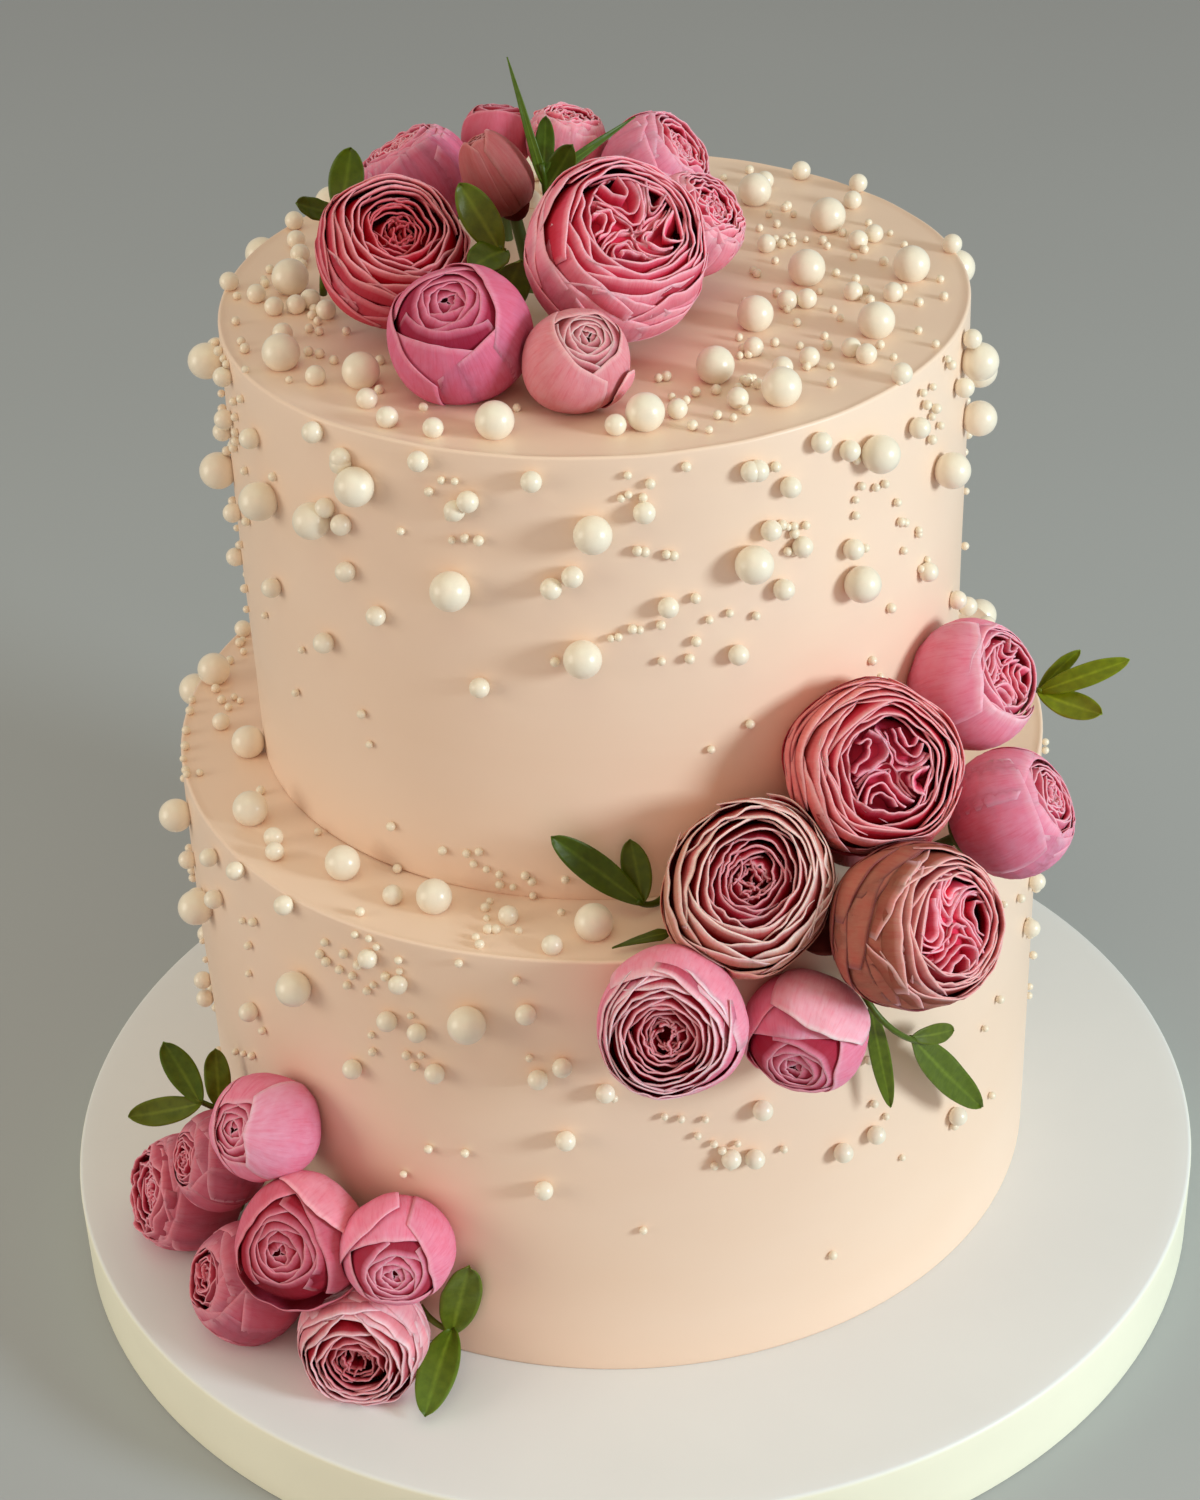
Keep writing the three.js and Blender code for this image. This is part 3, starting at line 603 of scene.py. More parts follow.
def head(name, R, seed):
    """The petals of one head round the origin, facing +Z, in millimetres."""
    f = FLOWERS[name]
    rng = np.random.default_rng(seed)
    pal = [lin(*c) for c in PALETTES[f["look"]]]
    core = [lin(*c) for c in PALETTES[f.get("core", f["look"])]]
    # painted shade in a dark sunken heart: the pale rims of the core petals are mixed towards the inside colour
    hollow = f.get("hollow", 0.0)
    core[4] = core[4] * (1 - hollow) + core[3] * hollow
    b = Batch()
    k = wave(rng, 4, 2, 5)
    k2 = wave(rng, 3, 2, 7)
    drift = rng.uniform(0, 2 * np.pi)

    def body(ang, th):
        return 0.024 * k(ang) + 0.016 * k2(ang + 0.5 * th + drift)

    golden = math.radians(137.5)
    tall = f.get("tall", 1.0)
    frill = f.get("frill", 0.02)
    if f["kind"] == "bud":
        tip = f["tip"]
        span = math.radians(f["span"])
        turn = rng.uniform(0, 2 * np.pi)
        for i in range(tip):
            x = i / (tip - 1)  # 0 outer, 1 inner
            th1 = math.radians(-1.5) + (span + math.radians(1.5)) * (1 - x) ** 0.95
            s = 0.94 - 0.13 * x
            # the tip petals are mixed towards the inside foot colour below their rims: painted shade in the gaps
            # between them
            petal(b, rng, R, pal, turn + golden * i + rng.normal(0, 0.12), math.radians(rng.uniform(70, 96)), s, s * 1.02 * tall, th1 + math.radians(34), th1,
                  tuck=rng.uniform(0.0, 0.035), droop=9, curl=0.012, frill=0.01, body=body, nu=20, nv=5, t=0.26, tone=rng.uniform(0.88, 1.04), lip=0.8, band=0.06, dim=(0.74, 0.95, 0.85), cap=0.92 if tall == 1.0 else None)
        b.add(*_shift(ball(0.68, 0.74 * tall, -0.04), R), tint=pal[2], grain=(0, 0, 5))
        # a given sixth entry scales the outer petal's colour; on the lit right-hand petals of bloom_mid_7, bloom_low_1
        # and bloom_low_4 this paling is painted light
        for turn_, half, rim, s, fl, *more in f["outer"]:
            petal(b, rng, R, pal, math.radians(turn_), math.radians(half), s, s * tall, math.radians(158), math.radians(rim),
                  tuck=0.005, droop=24, round_=2.0, curl=0.012, flare=fl, frill=0.01, body=body, nu=28, nv=14, t=0.42, tone=(more[0] if more else rng.uniform(0.96, 1.04)),
                  lip=0.7, band=0.06, rim=pal[5])
    else:
        mouth, heart, n = f["mouth"], f["heart"], f["n"]
        skirt = f.get("skirt", 10)
        outer = f.get("outer")
        if outer is None:
            outer = []
            m = f.get("m", 14)
            for i in range(m):
                s = 0.965 + 0.035 * i / (m - 1)
                th = math.degrees(math.asin(min(mouth / s, 0.985))) + skirt * max(0, (i - 7) / (m - 8)) + rng.uniform(-2, 3)
                outer.append((math.degrees(golden) * i + rng.uniform(-10, 10), rng.uniform(*f.get("half", (50, 64))), th, s, 0))
        start = rng.uniform(0, 2 * np.pi)
        for i in range(n):
            x = i / (n - 1)
            r = (mouth - 0.03) * (1 - x) + heart * x
            r = max(r + rng.normal(0, 0.011), 0.05)
            lean = np.interp(r, RHO, LEAN) + rng.normal(0, 0.03)
            zr = float(rim_height(r, mouth)) + rng.normal(0, 0.02)
            s = r / math.sin(lean)
            c = zr / math.cos(lean)
            depth = 0.34 if r > 0.35 else 0.28
            if r > 0.6:
                depth = 0.46
            th0 = math.acos(max(-0.4, (zr - depth) / c))
            w = math.radians(rng.uniform(36, 66) + 26 * (1 - r))
            mixin = smooth((0.62 - r) / 0.3)
            p5 = [a * (1 - mixin) + c_ * mixin for a, c_ in zip(pal, core)]
            deep = smooth((mouth - 0.1 - r) / 0.18)
            p5[0] = p5[0] * (1 - deep) + p5[2] * deep
            p5[1] = p5[1] * (1 - 0.85 * deep) + p5[3] * 0.85 * deep
            # painted shade in the gaps between ring petals: the lower part of each petal is mixed towards the inside
            # foot colour, more strongly deeper in the head
            dim = f.get("dim", (0.66, 0.86, 0.85))
            dim = (dim[0], dim[1], dim[2] * (0.2 + 0.8 * deep))
            petal(b, rng, R, p5, start + golden * i + rng.normal(0, 0.25), w, s, c, th0, lean,
                  tuck=rng.uniform(-0.01, 0.03) if r > 0.8 else rng.uniform(-0.03, 0.08) * (1 if r > 0.3 else 2), droop=rng.uniform(6, 19), curl=rng.uniform(0.012, 0.034) + 0.014 * deep, frill=frill, body=body, nu=20, nv=5, t=0.34 + 0.12 * deep, tone=rng.uniform(0.92, 1.08), band=f.get("band", 0.17) * (1 - 0.3 * mixin), dim=dim, cap=0.925, thin=0.2)
        for turn_, half, rim, s, fl, *more in outer + f.get("extra", []):
            petal(b, rng, R, pal, math.radians(turn_), math.radians(half), s, s, math.radians(158), math.radians(rim),
                  tuck=rng.uniform(0.0, 0.02), droop=15, curl=0.013 if rim > 68 else 0.006, flare=fl, frill=frill * 0.6, body=body, nu=20, nv=10, t=0.34, tone=(more[0] if more else rng.uniform(0.93, 1.05)),
                  lip=0.85, band=f.get("edge", 0.09), rim=pal[5])
        floor = 0.34 if f["kind"] == "quarters" else 0.1
        # in an open rose the ball at the bottom of the heart is half the inside foot colour: painted shade at the
        # bottom of the heart
        b.add(*_shift(ball(0.56, 0.2, floor), R), tint=core[2] * 0.5 + core[3] * 0.5 * (floor > 0.3), grain=(0, 0, 5))
        if f["kind"] == "quarters":
            folds(b, rng, R, core, heart, f["quarters"])
        else:
            crumple(b, rng, R, core, mouth, max(heart * 1.6, 0.2), 12)
    slim = f.get("slim", 1.0)
    b.v = [v * [slim, slim, 1.0] for v in b.v]
    return b


def crumple(b, rng, R, pal, mouth, reach, n):
    """Short creased petals that fill the heart of a rose."""
    for i in range(n):
        a = rng.uniform(0, 2 * np.pi)
        r = reach * math.sqrt(rng.uniform(0.02, 1.0))
        at = r * np.array([math.cos(a), math.sin(a)])
        d = a + np.pi / 2 + rng.normal(0, 0.7)
        half = rng.uniform(0.08, 0.17)
        bendy = rng.uniform(2.0, 5.0) * rng.choice([-1, 1])
        s = np.linspace(-1, 1, 15)
        h = d + bendy * s * half
        step = np.stack([np.cos(h), np.sin(h)], 1) * half / 7
        p = at + np.cumsum(step, axis=0) - np.sum(step, axis=0) / 2
        ribbon(b, rng, R, pal, p, float(rim_height(r, mouth)) + rng.normal(0.0, 0.035), 0.3, tone=rng.uniform(0.8, 1.05), lean=rng.uniform(-0.08, 0.08), nv=4)


def folds(b, rng, R, pal, reach, quarters):
    """The heart of a quartered rose: nested standing folds."""
    start = rng.uniform(0, 2 * np.pi)
    ax = rng.normal(0, 1, (3, 4))

    def bend(p):
        x, y = p[:, 0], p[:, 1]
        d = np.zeros_like(p)
        for a in ax:
            d[:, 0] += 0.02 * a[0] * np.sin(5 * a[1] * x + 4 * y + 6 * a[2])
            d[:, 1] += 0.02 * a[3] * np.sin(4 * x - 5 * a[1] * y + 5 * a[2] + 1)
        return p + d

    cuts = np.sort((np.arange(quarters) + rng.uniform(-0.24, 0.24, quarters)) * 2 * np.pi / quarters) + start
    spiral = rng.choice([-1, 1]) * rng.uniform(0.9, 1.5)
    heart = rng.normal(0, 0.05, 2)
    for qn in range(quarters):
        nxt = cuts[(qn + 1) % quarters] + (2 * np.pi if qn == quarters - 1 else 0)
        mid = (cuts[qn] + nxt) / 2
        wide = (nxt - cuts[qn]) / 2 * rng.uniform(0.92, 1.1)
        rings = 4
        skew = rng.uniform(-0.35, 0.35)
        for m in range(rings):
            a = wide * (1 - m / rings * 0.84)
            inner = 0.03 + 0.1 * m + rng.uniform(-0.025, 0.03)
            outer = reach * rng.uniform(1.0, 1.22)
            s = np.linspace(-1, 1, 26)
            rad = inner + (outer - inner) * np.abs(s) ** 1.4
            ang = mid + skew * (1 - rad / reach) + a * np.sign(s) * np.minimum(1, np.abs(s) * 1.9) ** 0.8 + spiral * (rad - reach * 0.5)
            p = np.stack([rad * np.cos(ang), rad * np.sin(ang)], 1) + heart * (1 - rad / reach)[:, None]
            top = 0.72 - 0.12 * (1 - m / rings) + rng.normal(0, 0.03)
            ribbon(b, rng, R, pal, bend(p), top + 0.03 * np.abs(s) ** 2, 0.32, tone=rng.uniform(0.8, 1.08), lean=rng.uniform(-0.14, 0.02))


def facing(az, el):
    a, e = math.radians(az), math.radians(el)
    return np.array([math.cos(e) * math.cos(a), math.cos(e) * math.sin(a), math.sin(e)])


def axes(out):
    x = RIGHT - (RIGHT @ out) * out
    x /= np.linalg.norm(x)
    return x, np.cross(out, x), out


def soft_floor(d, m):
    """Keeps a distance above zero, easing in over m."""
    return np.where(d < m, m * np.exp((np.minimum(d, m) - m) / m), d)


def off_cake(p, m=0.8):
    """Moves points out of the tiers and the board."""
    p = p.copy()
    for at, r, z1, z0 in ((UPPER_AT, UPPER_R, UPPER_TOP, LOWER_TOP), (LOWER_AT, LOWER_R, LOWER_TOP, BOARD_T)):
        d = p[:, :2] - at
        rho = np.maximum(np.linalg.norm(d, axis=1), 1e-6)
        dr, dz = rho - r, p[:, 2] - z1
        near = (dr < m) & (dz < m) & (p[:, 2] > z0 - 4)
        side = near & (dr >= dz)
        new = soft_floor(dr, m)
        p[side, :2] = at + d[side] / rho[side, None] * (r + new[side])[:, None]
        upw = near & (dr < dz)
        p[upw, 2] = z1 + soft_floor(dz, m)[upw]
    low = p[:, 2] < BOARD_T + m
    p[low, 2] = BOARD_T + soft_floor(p[:, 2] - BOARD_T, m)[low]
    return p


CENTRES = {r[0]: (np.array(r[2:5], float), r[5]) for r in ROSES}
DEPTH = {n: float((c - EYE) @ AHEAD) for n, (c, _) in CENTRES.items()}


def off_neighbours(name, p, m=1.4):
    c0, r0 = CENTRES[name]
    for other, (c, r) in CENTRES.items():
        if DEPTH[other] >= DEPTH[name] or np.linalg.norm(c - c0) > r + r0 + 4:
            continue
        d = p - c
        dist = np.maximum(np.linalg.norm(d, axis=1), 1e-6)
        rr = r * 1.0
        new = rr + soft_floor(dist - rr, m)
        hit = dist < rr + m
        p = np.where(hit[:, None], c + d / dist[:, None] * new[:, None], p)
    return p


def make_roses(mats):
    green = lin(86, 104, 48)
    for i, (name, slot, x, y, z, r, az, el) in enumerate(ROSES):
        b = head(name, r, 100 + i)
        at = np.array([x, y, z], float)
        X, Y, Z = axes(facing(az, el))
        n_head = b.n
        rot = np.stack([X, Y, Z])
        hub = np.array(HUBS[name.split("_")[1]], float)
        # green cup and stalk, which ends a little inside the icing
        cup = lathe([(0, -1.02), (0.2, -1.0), (0.34, -0.93), (0.36, -0.86), (0.25, -0.8), (0, -0.78)], 20)
        b.add(cup[0] * r, cup[1], cup[2], tint=green, mat=1)
        n_local = b.n
        a0 = at - Z * 0.55 * r
        via = (at - Z * 1.15 * r) * 0.82 + hub * 0.18
        line = curve([a0, via, hub], 40)
        inside = [k for k in range(40) if depth_in_cake(line[k]) > 2.0]
        stop = inside[0] if inside else 39
        line = line[: max(stop + 1, 6)]
        tv, tq, tt = tube(line, 1.5, 8)
        b.add(tv, tq, tt, tint=green * 0.9, mat=1)

        def move(v, rot=rot, at=at, n_local=n_local, name=name):
            v = v.copy()
            h = v[:n_local] @ rot + at
            h = off_neighbours(name, h)
            v[:n_local] = off_cake(h)
            return v

        ob = b.build("rose_" + name[6:], [mats[slot], mats["calyx"]], move)
        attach(ob, "root")
        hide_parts(name)


def depth_in_cake(p):
    """How far a point lies inside the tiers or the board, in millimetres."""
    best = -1e9
    for at, r, z1, z0 in ((UPPER_AT, UPPER_R, UPPER_TOP, LOWER_TOP - 1), (LOWER_AT, LOWER_R, LOWER_TOP, BOARD_T)):
        if p[2] > z0:
            best = max(best, min(r - np.linalg.norm(p[:2] - at), z1 - p[2]))
    return best


# ---- leaf sprigs ----
FRONT = (0, -0.84, 0.54)
RIGHT_FRONT = (0.5, -0.7, 0.45)
SPRIGS = {
    "sprig_top_left": ([[(-67.5, 6, 267.2), (-66, 6, 277.5), (-62, 10, 287.5)]],
        [((-62.2, 9.6, 285.6), (-58.8, 14, 300.6), 8.4, FRONT, 1), ((-62.4, 9.6, 286), (-71.6, 2, 292), 5.6, (-0.3, -0.7, 0.6), 1)]),
    "sprig_top_front": ([[(-24, -16, 266.6), (-24.5, -18, 278), (-23.4, -21, 289.5)]],
        [((-23.6, -21, 287.6), (-32.3, -18, 303.3), 8.4, FRONT, -1), ((-22.4, -20.8, 287.5), (-30.6, -29.4, 287), 8.6, (0.1, -0.5, 0.85), -1.2),
         ((-25, -19, 270), (-19, -24, 287), 9, (0.2, -0.9, 0.3), 1.2), ((-24, -15, 269), (-27, -19, 285), 8, (-0.2, -0.9, 0.3), 1)]),
    "sprig_top_back": ([[(-12.5, 12, 266.6), (-13, 9, 282), (-14, 6, 298)]],
        [((-13.8, 6.5, 295), (-12.6, 8, 308.8), 4.6, FRONT, 0.6), ((-13.6, 7, 290.5), (-6.6, 3.4, 303.4), 6.4, FRONT, 1.2),
         ((-13.8, 6.6, 293), (-21.1, 14, 321.1), 2.9, FRONT, -2.2), ((-13.4, 8, 293), (8.1, 20, 303.4), 3.2, FRONT, -1),
         ((-13, 8, 270), (-14, -6, 289), 11, (0.1, -0.95, 0.2), 1), ((-12, 8, 270), (-4, -4, 286), 9, (0.3, -0.9, 0.3), 1)]),
    "sprig_mid_left": ([[(8.5, -84.4, 151.6), (5.4, -88, 152.6), (2.4, -90, 155)]],
        [((3.8, -89.6, 154), (-16.7, -88.6, 173), 7.6, FRONT, 1), ((3.8, -89, 154), (1.4, -85.4, 169.4), 7.2, (-0.3, -0.84, 0.5), 0.6),
         ((9.5, -99, 152.2), (-3.6, -103.6, 151.8), 3.6, (-0.2, -0.5, 0.84), -0.5)]),
    "sprig_mid_right": ([[(90, -26, 170), (96, -36, 176), (101.5, -43, 179.8)]],
        [((100.6, -42, 179), (110.5, -40, 189), 4.2, RIGHT_FRONT, 0.8), ((100.6, -42.4, 179), (121.4, -46, 189.4), 5.6, FRONT, -1),
         ((100.6, -42.4, 179), (114.6, -52, 178), 7.2, (0, -0.6, 0.8), 1)]),
    "sprig_mid_low": ([[(52, -91.5, 136), (55.6, -99, 130.5), (67.2, -95.4, 115.8)]],
        [((56, -98.6, 130), (62, -94.6, 95.4), 4.9, (0.1, -0.95, 0.1), 1), ((66, -95.6, 117), (77.5, -85.4, 111), 5, (0.5, -0.8, 0.4), -1),
         ((66, -95.6, 117.4), (86.3, -78, 80.6), 8.6, (0.6, -0.75, 0.2), 1.4),
         ((55, -104, 137), (84, -88, 133), 8, (0.35, -0.8, -0.45), -1.5),
         # a dark red-brown leaf laid in the gap between bloom_mid_4 and bloom_mid_5: painted shade
         ((56, -92, 154), (38, -104, 151.5), 15, (-0.2, -0.7, 0.7), 1.0, (92, 38, 34))]),
    "sprig_low_left": ([[(-101, -46, 58), (-107, -52, 66), (-111.4, -57.6, 74)]],
        [((-110.8, -57.4, 72.8), (-118.4, -56, 92), 7.8, FRONT, 1), ((-110.6, -57.8, 73), (-128.4, -64, 74.4), 7.6, (-0.2, -0.6, 0.8), 1),
         ((-107, -53, 67.4), (-106.6, -50, 84.6), 7, FRONT, 0.8)]),
    "sprig_low_right": ([[(-55.2, -97.4, 38), (-51, -100.4, 34.6), (-45.8, -101.4, 32.2)]],
        [((-47.4, -101.2, 31.6), (-41.6, -102.8, 56), 10.2, (0.1, -0.98, 0.2), 0.8), ((-47, -101, 33.4), (-53.6, -123.4, 25.6), 10, (0, -0.3, 0.95), -1.6)]),
}
LEAF_TONES = {"sprig_top_left": (74, 90, 4), "sprig_top_front": (78, 96, 8), "sprig_top_back": (68, 92, 14), "sprig_mid_left": (66, 90, 2),
              "sprig_mid_right": (114, 130, 8), "sprig_mid_low": (84, 104, 16), "sprig_low_left": (88, 112, 18), "sprig_low_right": (94, 112, 22)}


def leaf(b, rng, base, tip, width, face, lift, colour):
    base, tip = np.array(base, float), np.array(tip, float)
    along = tip - base
    length = np.linalg.norm(along)
    along /= length
    across = np.cross(face, along)
    across /= np.linalg.norm(across)
    normal = np.cross(along, across)
    t = np.linspace(0, 1, 25)
    x = np.linspace(-1, 1, 11)
    T, Xx = np.meshgrid(t, x, indexing="ij")
    if width < 4:
        half = (1 - T) ** 0.75 * np.minimum(1, T * 5 + 0.18) ** 0.6
    else:
        half = np.maximum(4 * T**1.08 * (1 - T**1.08), 0) ** 0.62
    half = np.maximum(half, 0.05) * width / 2
    bow = 4 * T * (1 - T)
    wob = wave(rng, 3, 1, 4)
    edge = 0.09 * width * np.abs(Xx) ** 1.3 + 0.05 * width * wob(T * 5 + Xx)[...] * np.abs(Xx)
    mid = base + along * (T * length)[..., None] + across * (Xx * half)[..., None] + normal * (edge - lift * bow)[..., None]
    thick = (0.62 - 0.3 * np.abs(Xx) ** 2) * (1 - 0.5 * T**4) + 0.35 * np.exp(-((Xx / 0.1) ** 2)) * (1 - T)
    v, q = shell(mid, thick)
    col = lin(*colour)
    rib = np.exp(-((Xx / 0.07) ** 2)) * (1 - 0.6 * T)
    veins = 0.5 + 0.5 * np.cos((T * length * 1.6 - np.abs(Xx) * 5.0))
    c = col * (0.93 + 0.12 * veins[..., None] * (np.abs(Xx) > 0.1)[..., None])
    pale = np.minimum(col * 2.0 + np.array([0.03, 0.03, 0.012]), 1)
    c = c + (pale - c) * (0.7 * rib)[..., None]
    # painted highlight along the leaf margins
    painted_edge_highlight = smooth((np.abs(Xx) - 0.86) / 0.14)[..., None]
    c = c + (np.minimum(col * 1.5, 1) - c) * 0.5 * painted_edge_highlight
    back = np.minimum(col * np.array([1.25, 1.2, 1.3]) + 0.006, 1)
    two = np.concatenate([c.reshape(-1, 3), np.broadcast_to(back, (mid.shape[0] * mid.shape[1], 3))])
    g = np.stack([Xx * half, T * length, np.full_like(T, rng.uniform(0, 50))], -1).reshape(-1, 3)
    b.add(v, q, tint=two, grain=np.concatenate([g, g]))


def make_sprigs(mat):
    for i, (name, (stems, leaves)) in enumerate(SPRIGS.items()):
        rng = np.random.default_rng(500 + i)
        b = Batch()
        col = LEAF_TONES[name]
        for pts in stems:
            v, q, t = tube(curve(pts, 12), np.linspace(0.95, 0.7, 12), 8)
            b.add(v, q, t, tint=lin(*col) * 0.9, grain=v)
        for base, tip, width, face, lift, *own in leaves:
            tone = own[0] if own else tuple(min(255, c * rng.uniform(0.93, 1.08)) for c in col)
            leaf(b, rng, base, tip, width, face, lift, tone)
        ob = b.build(name.replace("sprig", "leaves"), [mat], lambda v: off_cake(v, 0.3))
        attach(ob, "root")
        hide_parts(name)


# ---- board and tiers ----
def arc(cx, cy, r, a0, a1, n):
    a = np.radians(np.linspace(a0, a1, n))
    return [(cx + r * math.cos(x), cy + r * math.sin(x)) for x in a]


def make_board(mat):
    prof = [(0, 0.0)] + [(x, 0.0) for x in (60, 120, 150)] + arc(BOARD_R - 0.8, 0.8, 0.8, -90, 0, 5)
    prof += [(BOARD_R, z) for z in (6, 12, 18)] + arc(BOARD_R - 1.1, BOARD_T - 1.1, 1.1, 0, 90, 6)
    prof += [(x, BOARD_T) for x in (150, 140, 120, 90, 60, 30)] + [(0, BOARD_T)]
    v, q, t = lathe(prof, 192)
    b = Batch()
    b.add(v, q, t)
    ob = b.build("cake_board", [mat])
    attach(ob, "root")
    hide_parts("board")


def make_tier(name, cad, at, r, z0, h, mat, seed):
    rng = np.random.default_rng(seed)
    rim = 0.7
    lip = 0.32
    prof = [(0, z0)] + [(x * r, z0) for x in (0.5, 0.9)] + [(r - 0.5, z0), (r - 0.1, z0 + 0.25), (r, z0 + 0.8)]
    prof += [(r, z0 + x) for x in np.linspace(3, h - 5, 30)]
    prof += [(r, z0 + h - 3.2)] + arc(r - rim, z0 + h - rim + lip, rim, 0, 90, 7)
    prof += [(r - rim - 0.35, z0 + h + lip * 0.7), (r - rim - 0.9, z0 + h + lip * 0.2), (r - rim - 2.0, z0 + h)]
    prof += [(x * r, z0 + h) for x in (0.94, 0.9, 0.85, 0.78, 0.7, 0.6, 0.5, 0.4, 0.3, 0.2, 0.1)] + [(0, z0 + h)]
    wr = [(rng.integers(1, 8), rng.uniform(-0.09, 0.09), rng.uniform(0, 6.3), rng.normal(0, 0.11)) for _ in range(9)]
    wt = [(rng.uniform(-0.06, 0.06), rng.uniform(-0.06, 0.06), rng.uniform(0, 6.3), rng.normal(0, 0.09)) for _ in range(7)]
    nick = wave(rng, 6, 5, 40)

    def ripple(ang, rho, z):
        w = sum(a * np.cos(k * ang + m * z + p) for k, m, p, a in wr)
        share = smooth((rho / r - 0.5) / 0.45)
        low = smooth((z - z0) / 3.0)
        dr = w * share * low
        x, y = rho * np.cos(ang), rho * np.sin(ang)
        top = smooth((z - (z0 + h - 2.5)) / 2.0)
        dz = sum(a * np.cos(mx * x + my * y + p) for mx, my, p, a in wt) * top
        dz = dz + 0.1 * nick(ang) * top * smooth((rho / r - 0.95) / 0.04)
        return dr, dz

    v, q, t = lathe(prof, 160, ripple)
    v[:, :2] += at
    b = Batch()
    b.add(v, q, t, grain=v)
    ob = b.build(name, [mat])
    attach(ob, "root")
    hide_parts(cad)


